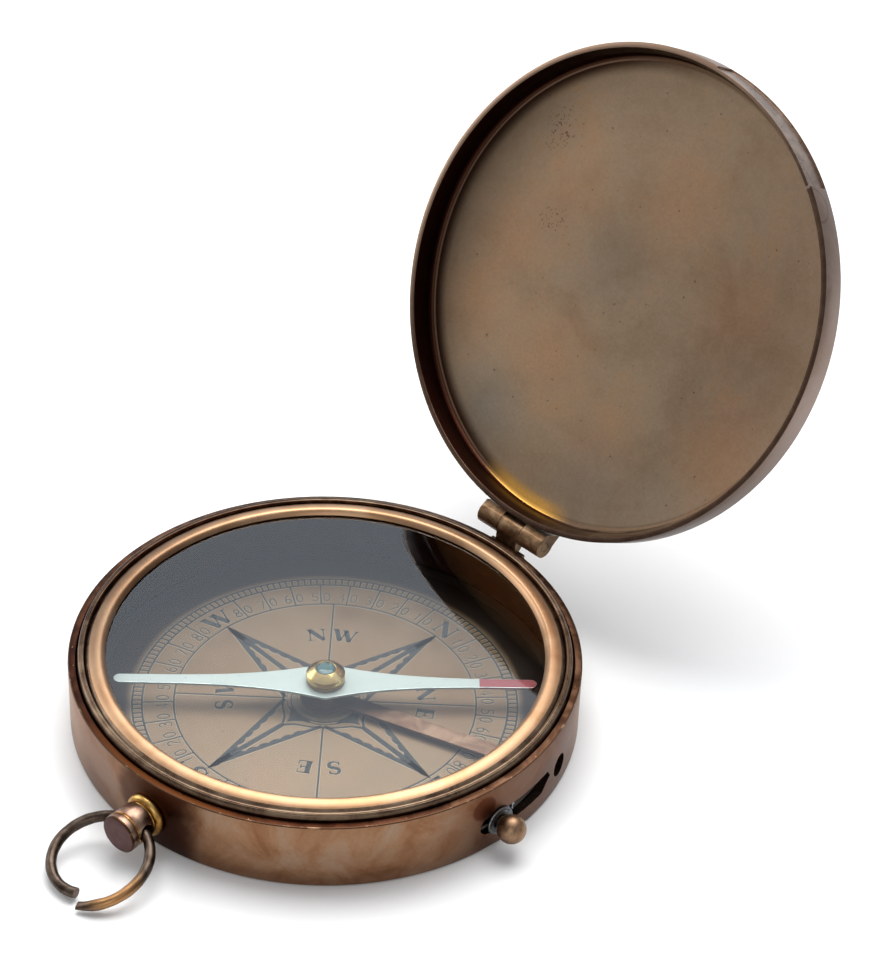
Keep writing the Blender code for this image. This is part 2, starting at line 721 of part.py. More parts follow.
def make_case_knuckle():
    """The middle barrel on a leaf that is fixed to the outside of the case's wall."""
    wall = CASE_RADIUS + 0.12 * MM
    outer = wall + 0.95 * MM
    outline = arc(HINGE_Y, HINGE_Z, HINGE_RADIUS, -100, 170, 26)
    outline += [(wall + 0.25 * MM, HINGE_Z), (wall, 10.4 * MM), (wall, 4.2 * MM), (outer, 4.2 * MM),
                (outer, 10.2 * MM)]
    knuckle = bored_knuckle("case_knuckle", 0, outline, antique_brass())
    half = 3.4 * MM
    plate_outline = [(-half, wall), (half, wall), (half, outer - 0.05 * MM), (-half, outer - 0.05 * MM)]
    plate = extruded("add_hinge_plate", plate_outline, 4.4 * MM, 10.4 * MM, antique_brass())
    join(knuckle, plate)
    return knuckle


def make_hinge_pin():
    length = 3 * KNUCKLE_LENGTH + 2 * KNUCKLE_GAP - 0.04 * MM
    return cylinder("hinge_pin", PIN_RADIUS, length, along_x(0, HINGE_Y, HINGE_Z), blued_steel(), 24)


def make_lid_rim():
    """The lid's turned wall, with a step inside it and a shallow thumb nick in the front of its side."""
    top = LID_RIM + LID_DEPTH
    profile = [
        (LID_INNER, top),
        (LID_INNER, LID_RIM + 1.5 * MM),
        (37.05 * MM, LID_RIM + 1.4 * MM),
        (37.1 * MM, LID_RIM + 0.1 * MM),
        (37.2 * MM, LID_RIM),
        (CASE_RADIUS - 0.1 * MM, LID_RIM),
        (CASE_RADIUS, LID_RIM + 0.1 * MM),
        (CASE_RADIUS, top - 0.55 * MM),
        (CASE_RADIUS - 0.15 * MM, top - 0.18 * MM),
        (CASE_RADIUS - 0.5 * MM, top),
    ]
    rim = turned("lid_rim", profile, lid_brass(), 72, opened())
    nick = curved_box("cut_thumb_nick", CASE_RADIUS - NICK_DEPTH, CASE_RADIUS + MM, NICK_START, NICK_END,
                      LID_RIM - MM, top - 0.6 * MM, lid_brass(), 16)
    nick.data.transform(opened())
    cut(rim, nick)
    return rim


def make_lid_plate():
    """The flat plate set into the far end of the lid's wall."""
    top = LID_RIM + LID_DEPTH
    radius = LID_INNER - 0.04 * MM
    profile = [(0, top - LID_TOP_THICKNESS), (radius, top - LID_TOP_THICKNESS), (radius, top), (0, top)]
    return turned("lid_plate", profile, lid_brass(), 72, opened())


def remove_scene_objects():
    for item in list(bpy.data.objects):
        bpy.data.objects.remove(item, do_unlink=True)


def build():
    remove_scene_objects()
    make_case_body()
    make_dial_plate()
    make_glass()
    make_glass_seat_ring()
    make_rim_band()
    make_bezel_ring()
    make_pivot_post()
    make_needle()
    make_needle_cap()
    make_cap_jewel()
    make_lift_collar()
    make_lifter_arm()
    make_arm_bracket()
    make_arm_pin()
    make_arm_screw()
    make_lock_slide()
    make_lock_washer()
    make_lock_knob()
    make_bow_stud()
    make_stud_nut()
    make_bow_ring()
    make_lid_knuckle("lid_knuckle_left", -1)
    make_lid_knuckle("lid_knuckle_right", 1)
    make_case_knuckle()
    make_hinge_pin()
    make_lid_rim()
    make_lid_plate()


build()
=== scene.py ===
"""Looks of the pocket geology compass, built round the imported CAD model.

Lengths here are in millimetres and turn into metres as the meshes are made. Turned pieces are made
about their own Z axis, so that their lathe lines and patina follow them.
"""

from math import asin, cos, degrees, hypot, pi, radians, sin, tau

import bmesh
import bpy
from mathutils import Matrix, Vector


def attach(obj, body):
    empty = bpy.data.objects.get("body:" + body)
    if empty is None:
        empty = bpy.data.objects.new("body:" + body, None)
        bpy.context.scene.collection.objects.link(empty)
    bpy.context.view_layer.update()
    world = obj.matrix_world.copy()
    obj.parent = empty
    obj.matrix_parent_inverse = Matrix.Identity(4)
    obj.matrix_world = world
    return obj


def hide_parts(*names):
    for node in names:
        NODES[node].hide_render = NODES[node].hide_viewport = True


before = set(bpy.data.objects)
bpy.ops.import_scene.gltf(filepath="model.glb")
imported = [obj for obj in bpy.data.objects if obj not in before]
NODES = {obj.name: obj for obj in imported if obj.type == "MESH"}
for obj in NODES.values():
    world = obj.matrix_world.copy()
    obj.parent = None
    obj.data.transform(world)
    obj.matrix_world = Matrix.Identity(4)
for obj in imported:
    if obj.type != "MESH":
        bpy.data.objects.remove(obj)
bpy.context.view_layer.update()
MM = 0.001

# Sizes shared with the CAD model
CASE_R, CASE_H, WALL, FLOOR = 38.0, 11.2, 1.15, 0.8
DIAL_R, DIAL_TOP = 35.9, 1.6
HINGE_Y, HINGE_Z, LID_OPEN = 40.2, 13.0, radians(118.3)
LID_RIM, LID_DEPTH = 11.3, 4.8
STUD_ANGLE, STUD_Z, BOW_HOLE = radians(-84.6), 5.0, 41.0
ARM_ANGLE = radians(20.0)
LOCK_ANGLE, SLOT_Z = radians(-2.8), 4.5
NEEDLE_ANGLE = radians(46.0)
DIAL_TURN = radians(-1.5)
SLOT_HALF, SCREW_HOLE, STUD_HOLE, SCREW_Z = 1.55, 1.8, 1.25, 4.3

# Edges that turn by more than this many degrees stay crisp
SHARP = 35.0


# ---------------------------------------------------------------- shader helpers

def add_node(tree, kind, feeds=None, **settings):
    """Adds a shader node; feeds holds its inputs, each a value or the socket that feeds it."""
    made = tree.nodes.new(kind)
    for name, value in settings.items():
        setattr(made, name, value)
    for socket, value in (feeds or {}).items():
        if isinstance(value, bpy.types.NodeSocket):
            tree.links.new(value, made.inputs[socket])
        else:
            made.inputs[socket].default_value = value
    return made


class Finish:
    """One material with a Principled shader, and short calls for the nodes that feed it."""

    def __init__(self, name, roughness=0.4, metallic=1.0, **sockets):
        self.material = bpy.data.materials.new(name)
        self.material.use_nodes = True
        self.tree = self.material.node_tree
        self.shader = self.tree.nodes["Principled BSDF"]
        self.shader.inputs["Metallic"].default_value = metallic
        self.shader.inputs["Roughness"].default_value = roughness
        for socket, value in sockets.items():
            self.shader.inputs[socket.replace("_", " ")].default_value = value
        place = self.node("ShaderNodeTexCoord").outputs["Object"]
        self.place = self.vector("SCALE", {0: place, "Scale": 1 / MM}).outputs[0]
        self.x, self.y, self.z = self.node("ShaderNodeSeparateXYZ", {0: self.place}).outputs
        self.flat = self.node("ShaderNodeCombineXYZ", {0: self.x, 1: self.y}).outputs[0]
        self.radius = self.vector("LENGTH", {0: self.flat}).outputs[1]

    def node(self, kind, feeds=None, **settings):
        return add_node(self.tree, kind, feeds, **settings)

    def vector(self, operation, feeds):
        return self.node("ShaderNodeVectorMath", feeds, operation=operation)

    def maths(self, operation, a, b=0.0):
        return self.node("ShaderNodeMath", {0: a, 1: b}, operation=operation).outputs[0]

    def times(self, a, b):
        return self.maths("MULTIPLY", a, b)

    def plus(self, a, b):
        return self.maths("ADD", a, b)

    def noise(self, scale, detail=3.0, rough=0.55, warp=0.0, at=None):
        """Noise with the scale in cycles per millimetre."""
        return self.node("ShaderNodeTexNoise", {
            "Vector": at or self.place, "Scale": scale, "Detail": detail, "Roughness": rough,
            "Distortion": warp}).outputs[0]

    def lathe(self, scale, detail=4.0):
        """Noise that depends on radius and height only, so it runs round in rings."""
        rings = self.node("ShaderNodeCombineXYZ", {0: self.radius, 1: self.z}).outputs[0]
        return self.noise(scale, detail, 0.7, at=rings)

    def ramp(self, value, *stops):
        """A colour ramp; each stop is (position, (r, g, b))."""
        made = self.node("ShaderNodeValToRGB", {0: value})
        points = made.color_ramp.elements
        while len(points) < len(stops):
            points.new(0.5)
        for point, (position, colour) in zip(points, stops):
            point.position = position
            point.color = (*colour, 1.0)
        return made.outputs[0]

    def fit(self, value, low, high, start=0.0, end=1.0):
        """Maps low..high smoothly to start..end."""
        return self.node("ShaderNodeMapRange", {
            "Value": value, "From Min": low, "From Max": high, "To Min": start, "To Max": end,
        }, interpolation_type="SMOOTHSTEP").outputs[0]

    def band(self, value, low, middle, high, amount=1.0):
        """amount where value lies between the two middles, and 0 outside low..high."""
        return self.times(self.fit(value, low, middle[0]), self.fit(value, high, middle[1], 0.0, amount))

    def mix(self, amount, first, second, blend="MIX"):
        return self.node("ShaderNodeMixRGB", {0: amount, 1: self.rgba(first), 2: self.rgba(second)},
                         blend_type=blend).outputs[0]

    def rgba(self, value):
        return value if isinstance(value, bpy.types.NodeSocket) else (*value, 1.0)

    def away(self, x, y, z=None):
        """Distance from a point, or from a line along Z when no height is given."""
        place = self.flat if z is None else self.place
        return self.vector("DISTANCE", {0: place, 1: (x, y, z or 0)}).outputs[1]

    def spot(self, x, y, reach, fade=0.35, wobble=0.0, z=None, amount=1.0):
        """A soft round patch, amount in its middle and 0 outside."""
        distance = self.away(x, y, z)
        if wobble:
            shift = self.times(self.maths("SUBTRACT", self.noise(0.25), 0.5), wobble)
            distance = self.plus(distance, shift)
        return self.fit(distance, reach, reach * fade, 0.0, amount)

    def flecks(self, scale, amount):
        """Small sparse marks: 1 on a mark."""
        return self.fit(self.noise(scale, 2.0, 0.5), 1.0 - amount - 0.03, 1.0 - amount)

    def colour(self, socket):
        self.tree.links.new(socket, self.shader.inputs["Base Color"])

    def stain(self, amount, colour, blend="MIX"):
        """Lays a colour over the base colour where amount is high."""
        base = self.shader.inputs["Base Color"].links[0].from_socket
        self.colour(self.mix(amount, base, colour, blend))

    def shade(self, amount, colour):
        self.stain(amount, colour, "MULTIPLY")

    def roughness(self, socket):
        self.tree.links.new(socket, self.shader.inputs["Roughness"])

    def bump(self, height, strength=0.2, depth=0.02):
        """Raises the surface by height; depth is in millimetres."""
        normal = self.shader.inputs["Normal"]
        feeds = {"Strength": strength, "Distance": depth * MM, "Height": height}
        if normal.links:
            feeds["Normal"] = normal.links[0].from_socket
        self.tree.links.new(self.node("ShaderNodeBump", feeds).outputs[0], normal)


def spread(*colours):
    """Ramp stops for colours spaced evenly from 0 to 1."""
    return [(k / (len(colours) - 1), colour) for k, colour in enumerate(colours)]


def aged(name, tones, blotch=0.14, rough=(0.34, 0.5), grain=0.12, dark=0.0, lines=0.25, line_scale=3.0,
         metallic=1.0, **sockets):
    """Old brass: cloudy tones, fine grain, dark specks and faint lathe lines."""
    f = Finish(name, metallic=metallic, **sockets)
    clouds = f.noise(blotch, 5.0, 0.62, 0.6)
    f.colour(f.ramp(f.fit(clouds, 0.3, 0.7), *tones))
    fine = f.noise(2.2, 4.0, 0.7)
    f.shade(grain, f.ramp(fine, (0.3, (0.35, 0.33, 0.32)), (0.7, (1.0, 1.0, 1.0))))
    if dark:
        f.stain(f.flecks(0.9, dark), (0.05, 0.025, 0.015))
    f.roughness(f.fit(f.plus(f.times(clouds, 0.6), f.times(fine, 0.4)), 0.35, 0.65, *rough))
    f.bump(f.noise(0.35, 3.0), 0.25, 0.05)
    f.bump(fine, 0.25, 0.006)
    if lines:
        f.bump(f.lathe(line_scale), lines, 0.012)
    return f


# ---------------------------------------------------------------- finishes

def finish_case():
    """The case wall: clouded bronze, darker by the hinge side and round the bow's stud; the dark patch right
    of the stud is painted shade and a painted reflection of the stud.
    """
    tones = [(0.0, (0.19, 0.085, 0.04)), (0.3, (0.26, 0.13, 0.068)), (0.6, (0.3, 0.17, 0.098)),
             (1.0, (0.33, 0.22, 0.15))]
    f = aged("case_bronze", tones, 0.11, (0.34, 0.48), 0.25, 0.2, 0.2)
    f.shade(f.spot(37.5, 7.0, 23.0, 0.4, 3.0, amount=0.8), (0.42, 0.33, 0.33))
    f.shade(f.spot(-8.0, -37.0, 9.0, 0.2, 3.0, amount=0.5), (0.55, 0.5, 0.6))
    # Painted shade and painted reflection of the stud, beside its flange
    f.stain(f.spot(6.4, -37.4, 8.0, 0.35, 3.0, amount=0.95), (0.035, 0.007, 0.002))
    f.stain(f.spot(2.0, -38.0, 5.6, 0.6, 2.0, 7.5, amount=0.8), (0.05, 0.014, 0.004))
    f.stain(f.spot(37.7, -4.7, 2.3, 0.75, 0.6, 8.2, amount=0.8), (0.07, 0.016, 0.005))
    return f.material


def finish_shoulder():
    """The case's dark upper edge, with amber flecks where the brass shows."""
    f = aged("dark_shoulder", spread((0.035, 0.015, 0.008), (0.075, 0.035, 0.019), (0.13, 0.068, 0.04)),
             0.3, (0.3, 0.44), 0.25, 0.0, 0.15)
    f.shade(f.fit(f.y, 4.0, -26.0), (0.4, 0.26, 0.2))
    f.stain(f.spot(4.0, -38.0, 20.0, 0.3, 6.0, amount=0.7), (0.06, 0.018, 0.004))
    f.stain(f.flecks(1.3, 0.22), (0.42, 0.2, 0.08))
    return f.material


def finish_inner_wall():
    """The inside of the case, dark and without shine; its near-black colour is painted shade for the inside
    of the case.
    """
    tones = [(0.0, (0.006, 0.002, 0.002)), (0.6, (0.014, 0.005, 0.004)), (1.0, (0.026, 0.011, 0.007))]
    return aged("inner_wall", tones, 0.2, (0.6, 0.75), 0.2, 0.0, 0.0, metallic=0.0,
                Specular_IOR_Level=0.0).material


def finish_lid_wall():
    """The lid's inner wall: nearly black on the left, which is painted shade, brown like the plate elsewhere.
    """
    tones = [(0.0, (0.1, 0.06, 0.04)), (0.6, (0.15, 0.1, 0.065)), (1.0, (0.2, 0.14, 0.09))]
    f = aged("lid_inner_wall", tones, 0.2, (0.32, 0.45), 0.2, 0.0, 0.1)
    # Painted shade: nearly black towards the left
    f.stain(f.fit(f.x, 16.0, 0.0), (0.02, 0.006, 0.004))
    return f.material


def finish_band():
    """The ring round the glass: dull grey-brown, darker on the left, where the darkening is a painted dark
    reflection.
    """
    f = aged("rim_band_metal", spread((0.09, 0.055, 0.035), (0.15, 0.1, 0.065), (0.21, 0.15, 0.1)),
             0.25, (0.26, 0.4), 0.3, 0.0, 0.35, 5.0)
    # Painted dark reflection on the left
    f.shade(f.fit(f.x, -20.0, -38.0), (0.5, 0.42, 0.4))
    return f.material


def finish_bezel():
    """The bright ring that holds the glass, a little greyer on the left, where painted shade dims its
    reflection.
    """
    f = aged("bezel_copper", spread((0.35, 0.2, 0.105), (0.42, 0.25, 0.142), (0.45, 0.29, 0.172)),
             0.12, (0.36, 0.44), 0.12, 0.0, 0.12)
    # Painted shade on the left, dimming the reflection there
    f.shade(f.spot(-31.0, -13.0, 32.0, 0.3, 3.0), (0.6, 0.6, 0.62))
    return f.material


def finish_edge(name="worn_edge", bright=(0.28, 0.18, 0.11), dull=(0.06, 0.03, 0.017), rare=0.66):
    """Edges where handling has rubbed the patina through in places; rare is how seldom."""
    f = Finish(name, 0.38)
    worn = f.fit(f.noise(0.5, 4.0, 0.7), rare - 0.12, rare + 0.06)
    f.colour(f.mix(worn, dull, bright))
    f.bump(f.noise(2.5), 0.15, 0.008)
    return f.material


def finish_lid_edge():
    """The lid's lip: dark on the right, lighter towards the far left."""
    f = Finish("lid_lip", 0.4)
    f.colour(f.ramp(f.noise(0.4, 4.0, 0.7), (0.3, (0.06, 0.034, 0.022)), (0.7, (0.1, 0.062, 0.043))))
    f.stain(f.fit(f.plus(f.x, f.y), -5.0, -40.0, 0.0, 0.75), (0.3, 0.2, 0.14))
    f.bump(f.noise(2.5), 0.15, 0.008)
    return f.material


def finish_lid_inside():
    """The lid's turned inside: grey-brown with soft orange and blue-grey clouds, with painted light and shade
    across it, painted shade towards the corner and a painted highlight along the corner.
    """
    f = Finish("lid_inside", Specular_Tint=(0.2, 0.15, 0.12, 1.0))
    clouds = f.noise(0.08, 7.0, 0.7, 0.4)
    field = f.plus(f.times(clouds, 0.8), f.times(f.lathe(0.6, 5.0), 0.2))
    f.colour(f.ramp(f.fit(field, 0.3, 0.7), (0.0, (0.235, 0.16, 0.102)), (0.4, (0.25, 0.178, 0.116)),
                    (0.62, (0.258, 0.186, 0.124)), (1.0, (0.28, 0.182, 0.108))))
    orange = (0.35, 0.175, 0.085)
    for x, y, reach, amount in (
            (-22, 0, 12, 0.36), (-24, 12, 12, 0.34), (-15, -12, 11, 0.3), (-8, 14, 13, 0.4),
            (20, -6, 12, 0.28), (4, -17, 13, 0.34), (27, 14, 12, 0.34), (6, 22, 12, 0.28)):
        f.stain(f.spot(x, y, reach, 0.0, 8.0, amount=amount), orange)
    blue_grey = (0.12, 0.13, 0.125)
    for x, y, reach, amount in ((-15, 27, 11, 0.4), (8, 29, 12, 0.3), (20, 26, 9, 0.2), (-4, -3, 11, 0.15)):
        f.stain(f.spot(x, y, reach, 0.0, 5.0, amount=amount), blue_grey)
    # Painted light and shade: darker to the left and to the right, lighter from the middle towards the hinge
    # and darker again near it, and darker in a ring at the edge
    for value, low, high, shade in (
            (f.x, -16.0, -36.0, (0.72, 0.7, 0.7)), (f.y, 24.0, 34.0, (0.85, 0.82, 0.8)),
            (f.x, 10.0, 30.0, (0.88, 0.84, 0.84)), (f.y, -8.0, 20.0, (1.16, 1.18, 1.18)),
            (f.radius, 35.3, 35.9, (0.5, 0.45, 0.42))):
        f.shade(f.fit(value, low, high), shade)
    # Painted shade in the corner, on the left side
    f.stain(f.times(f.fit(f.radius, 33.4, 35.6), f.fit(f.x, 10.0, -20.0)), (0.045, 0.02, 0.011))
    # Painted highlight: a thin light line along the corner, on the left side
    line = f.band(f.radius, 35.6, (35.72, 35.88), 36.0)
    f.stain(f.times(line, f.fit(f.x, -4.0, -20.0, 0.0, 0.6)), (0.26, 0.16, 0.11))
    gleam = f.times(f.fit(f.radius, 33.4, 35.4), f.fit(f.away(-2.0, 36.0), 10.0, 3.0, 0.0, 0.85))
    f.stain(gleam, (0.62, 0.33, 0.07))
    pits = f.times(f.flecks(2.6, 0.38), f.spot(-21.5, -18.5, 5.5, 0.2, 4.0))
    more = f.times(f.flecks(2.6, 0.36), f.spot(-17, -5, 5.0, 0.2, 4.0))
    marks = f.maths("MINIMUM", f.plus(f.plus(pits, more), f.flecks(1.2, 0.235)), 1.0)
    f.stain(f.times(marks, 0.7), (0.07, 0.03, 0.022))
    fine = f.noise(2.6, 5.0, 0.8)
    f.shade(0.4, f.ramp(fine, (0.3, (0.55, 0.53, 0.51)), (0.7, (1.12, 1.12, 1.12))))
    f.roughness(f.fit(f.plus(field, f.times(fine, 0.3)), 0.4, 0.9, 0.38, 0.5))
    f.bump(f.lathe(4.0), 0.25, 0.008)
    f.bump(fine, 0.15, 0.004)
    f.bump(marks, 0.3, -0.015)
    return f.material


def finish_lid_outside():
    """The lid's outside, with a purplish arc where the file stopped beside the nick."""
    top = LID_RIM + LID_DEPTH
    tones = [(0.0, (0.23, 0.16, 0.125)), (0.4, (0.27, 0.195, 0.158)), (1.0, (0.31, 0.24, 0.205))]
    f = aged("lid_bronze", tones, 0.1, (0.34, 0.46), 0.25, 0.12, 0.2)
    f.shade(f.fit(f.z, top - 0.5, top), (0.72, 0.58, 0.47))
    f.shade(f.fit(f.y, -2.0, 22.0), (0.42, 0.36, 0.32))
    arc_middle = polar(CASE_R, radians(-43.5))
    arc = f.band(f.away(*arc_middle, LID_RIM + 0.4), 2.3, (2.5, 2.7), 2.9, 0.35)
    f.stain(arc, (0.09, 0.05, 0.05))
    return f.material


def finish_nick():
    tones = [(0.0, (0.25, 0.18, 0.145)), (0.6, (0.34, 0.26, 0.215)), (1.0, (0.42, 0.33, 0.27))]
    return aged("filed_nick", tones, 0.4, (0.25, 0.4), 0.3, 0.0, 0.5, 6.0).material


def finish_dial():
    f = Finish("dial_face", metallic=0.55)
    clouds = f.noise(0.09, 5.0, 0.6, 0.5)
    f.colour(f.ramp(f.fit(clouds, 0.3, 0.7), (0.0, (0.185, 0.112, 0.062)), (0.5, (0.212, 0.136, 0.08)),
                    (1.0, (0.23, 0.155, 0.096))))
    # Painted shade: the margin outside the scale made near black, for the shade of the case wall
    f.stain(f.fit(f.radius, 28.8, 30.2, 0.0, 0.94), (0.012, 0.005, 0.004))
    fine = f.noise(1.4, 5.0, 0.75)
    f.shade(0.18, f.ramp(fine, (0.3, (0.6, 0.6, 0.6)), (0.7, (1.0, 1.0, 1.0))))
    f.stain(f.times(f.flecks(1.1, 0.25), 0.5), (0.05, 0.035, 0.03))
    f.roughness(f.fit(clouds, 0.3, 0.7, 0.42, 0.58))
    f.bump(f.lathe(4.0), 0.12, 0.006)
    f.bump(fine, 0.03, 0.003)
    return f.material


def finish_ink():
    f = Finish("engraved_lines", 0.6, 0.2)
    worn = f.fit(f.noise(0.8, 4.0, 0.7), 0.35, 0.75)
    f.colour(f.mix(worn, (0.014, 0.016, 0.02), (0.04, 0.038, 0.036)))
    return f.material


def finish_cut_edge():
    # Painted highlight: the pale copy round the engraved lines stands for light on the cut's edges
    f = Finish("painted_engraving_highlight", 0.4, 0.6)
    f.colour(f.mix(f.noise(0.6, 3.0), (0.24, 0.18, 0.11), (0.42, 0.34, 0.24)))
    return f.material


def finish_glass():
    """Clear glass that only adds reflections, so that what lies behind stays where it is."""
    material = bpy.data.materials.new("window_glass_clear")
    material.use_nodes = True
    tree = material.node_tree
    tree.nodes.remove(tree.nodes["Principled BSDF"])
    clear = add_node(tree, "ShaderNodeBsdfTransparent", {0: (0.97, 0.985, 0.98, 1.0)})
    shine = add_node(tree, "ShaderNodeBsdfGlossy", {"Color": (0.88, 0.94, 1.0, 1.0), "Roughness": 0.03})
    fresnel = add_node(tree, "ShaderNodeFresnel", {"IOR": 1.6})
    behind = add_node(tree, "ShaderNodeNewGeometry").outputs["Backfacing"]
    front = add_node(tree, "ShaderNodeMath", {0: 1.0, 1: behind}, operation="SUBTRACT")
    amount = add_node(tree, "ShaderNodeMath", {0: fresnel.outputs[0], 1: front.outputs[0]},
                      operation="MULTIPLY")
    blend = add_node(tree, "ShaderNodeMixShader",
                     {0: amount.outputs[0], 1: clear.outputs[0], 2: shine.outputs[0]})
    tree.links.new(blend.outputs[0], tree.nodes["Material Output"].inputs["Surface"])
    return material


def finish_needle():
    """Pale enamelled steel, with the north end painted red."""
    f = Finish("needle_enamel", 0.35, 0.0)
    clouds = f.noise(0.3, 4.0)
    pale = f.mix(clouds, (0.4, 0.45, 0.43), (0.47, 0.52, 0.49))
    red = f.mix(clouds, (0.24, 0.02, 0.03), (0.3, 0.045, 0.055))
    base = f.mix(f.fit(f.x, 22.95, 23.0), pale, red)
    specks = f.times(f.flecks(2.2, 0.27), 0.7)
    f.colour(f.mix(specks, base, (0.08, 0.055, 0.04)))
    f.bump(f.noise(1.2, 3.0), 0.15, 0.01)
    return f.material


def finish_gold():
    return aged("turned_brass", spread((0.5, 0.32, 0.11), (0.68, 0.48, 0.2), (0.76, 0.58, 0.28)),
                0.4, (0.2, 0.28), 0.08, 0.0, 0.0).material


def finish_jewel():
    f = Finish("jewel_stone_teal", 0.12, 0.0)
    f.colour(f.ramp(f.noise(1.6, 5.0, 0.75), (0.3, (0.015, 0.05, 0.055)), (0.6, (0.045, 0.12, 0.12)),
                    (0.78, (0.12, 0.2, 0.19))))
    return f.material


def finish_arm():
    """The lifter arm: copper, darker towards the needle's middle, where the darkening is painted shade."""
    f = aged("arm_copper", spread((0.13, 0.068, 0.044), (0.2, 0.12, 0.08), (0.28, 0.18, 0.125)),
             0.35, (0.32, 0.45), 0.2, 0.15, 0.0)
    # Painted shade towards the middle, under the needle
    f.shade(f.fit(f.radius, 14.0, 9.0), (0.4, 0.36, 0.36))
    return f.material


def finish_steel(name, low, high, rough=(0.25, 0.5)):
    f = Finish(name)
    f.colour(f.ramp(f.noise(1.3, 5.0, 0.75), (0.35, low), (0.7, high)))
    f.roughness(f.fit(f.noise(2.0), 0.3, 0.7, *rough))
    f.bump(f.noise(2.0, 4.0), 0.4, 0.04)
    return f.material


def finish_knob():
    return aged("knob_copper", spread((0.15, 0.082, 0.045), (0.26, 0.155, 0.092), (0.38, 0.245, 0.145)),
                0.3, (0.36, 0.48), 0.25, 0.0, 0.0).material


def finish_knuckle():
    return aged("knuckle_patina", spread((0.09, 0.05, 0.026), (0.18, 0.108, 0.058), (0.29, 0.19, 0.11)),
                0.35, (0.34, 0.48), 0.25, 0.2, 0.0).material


def finish_stud(name, tones, rough=(0.26, 0.4)):
    return aged(name, tones, 0.3, rough, 0.12, 0.0, 0.0).material


def finish_wire():
    """The bow ring: grey-brown wire, coppery along one stretch."""
    f = aged("bow_wire", spread((0.043, 0.03, 0.021), (0.073, 0.052, 0.039), (0.11, 0.082, 0.064)),
             0.5, (0.28, 0.42), 0.3, 0.2, 0.0)
    f.stain(f.spot(6.3, -9.0, 5.0, 0.3, 2.0), (0.36, 0.19, 0.08))
    return f.material


def finish_floor():
    f = Finish("pale_floor", 0.65, 0.0)
    f.colour(f.mix(f.noise(0.01, 2.0), (0.78, 0.78, 0.77), (0.82, 0.82, 0.81)))
    return f.material


# ---------------------------------------------------------------- mesh helpers

def add_object(name, data, place=None):
    """Puts a mesh, light or camera in the scene."""
    made = bpy.data.objects.new(name, data)
    bpy.context.scene.collection.objects.link(made)
    if place is not None:
        made.matrix_world = place
    return made


def to_object(name, shape, finishes, place=None, sharp=SHARP):
    """Turns a bmesh in millimetres into a named object, smooth but for its sharp edges."""
    bmesh.ops.recalc_face_normals(shape, faces=shape.faces)
    bmesh.ops.scale(shape, verts=shape.verts, vec=(MM, MM, MM))
    mesh = bpy.data.meshes.new(name)
    shape.to_mesh(mesh)
    shape.free()
    for finish in finishes:
        mesh.materials.append(finish)
    mesh.shade_smooth()
    mesh.set_sharp_from_angle(angle=radians(sharp))
    return add_object(name, mesh, place)


def polar(radius, angle):
    return (radius * cos(angle), radius * sin(angle))


def oval(cx, cy, rx, ry, start=0.0, end=360.0, steps=20):
    """Points along an oval, from one angle to another in degrees."""
    angles = [radians(start + (end - start) * k / steps) for k in range(steps + 1)]
    return [(cx + rx * cos(angle), cy + ry * sin(angle)) for angle in angles]


def skin(shape, rings):
    """Joins each ring of vertices to the next with quads."""
    faces = []
    for first, second in zip(rings, rings[1:]):
        for k in range(len(first)):
            after = (k + 1) % len(first)
            faces.append(shape.faces.new((first[k], first[after], second[after], second[k])))
    return faces


def turned_shape(profile, steps):
    """Spins (radius, height, finish index) points about Z; the index is for the face after a point."""
    shape = bmesh.new()
    columns = []
    for radius, height, _ in profile:
        if radius < 1e-6:
            columns.append([shape.verts.new((0, 0, height))] * steps)
        else:
            columns.append([shape.verts.new((*polar(radius, tau * k / steps), height)) for k in range(steps)])
    for (_, _, index), first, second in zip(profile, columns, columns[1:] + columns[:1]):
        for k in range(steps):
            after = (k + 1) % steps
            corners = []
            for vert in (first[k], first[after], second[after], second[k]):
                if vert not in corners:
                    corners.append(vert)
            if len(corners) > 2:
                shape.faces.new(corners).material_index = index
    return shape


def turned(name, profile, finishes, steps=192, place=None, sharp=SHARP):
    return to_object(name, turned_shape(profile, steps), finishes, place, sharp)


def bent_box(shape, inner, outer, start, end, bottom, top, steps=12, index=0):
    """Adds a box bent round Z, from one angle to another in degrees, to a bmesh."""
    start, end = radians(start), radians(end)
    corners = ((inner, bottom), (outer, bottom), (outer, top), (inner, top))
    rings = []
    for step in range(steps + 1):
        angle = start + (end - start) * step / steps
        rings.append([shape.verts.new((*polar(r, angle), z)) for r, z in corners])
    ends = [rings[0], list(reversed(rings[-1]))]
    for face in skin(shape, rings) + [shape.faces.new(ring) for ring in ends]:
        face.material_index = index


def rod(shape, radius, bottom, top, place, steps=32, index=0):
    """Adds a plain rod along a matrix's Z to a bmesh, for cutting holes."""
    low, high = ([shape.verts.new(place @ Vector((*polar(radius, tau * k / steps), height)))
                  for k in range(steps)] for height in (bottom, top))
    faces = [shape.faces.new(list(reversed(low))), shape.faces.new(high)]
    for face in faces + skin(shape, [low, high]):
        face.material_index = index


def carve(target, *cutters):
    """Cuts the cutters out of target for good; a cut face keeps its cutter's finish index."""
    for cutter in cutters:
        step = target.modifiers.new("cut", "BOOLEAN")
        step.operation = "DIFFERENCE"
        step.solver = "EXACT"
        step.object = cutter
    bpy.context.view_layer.update()
    done = bpy.data.meshes.new_from_object(target.evaluated_get(bpy.context.evaluated_depsgraph_get()))
    target.modifiers.clear()
    target.data = done
    done.shade_smooth()
    done.set_sharp_from_angle(angle=radians(SHARP))
    for cutter in cutters:
        bpy.data.objects.remove(cutter, do_unlink=True)


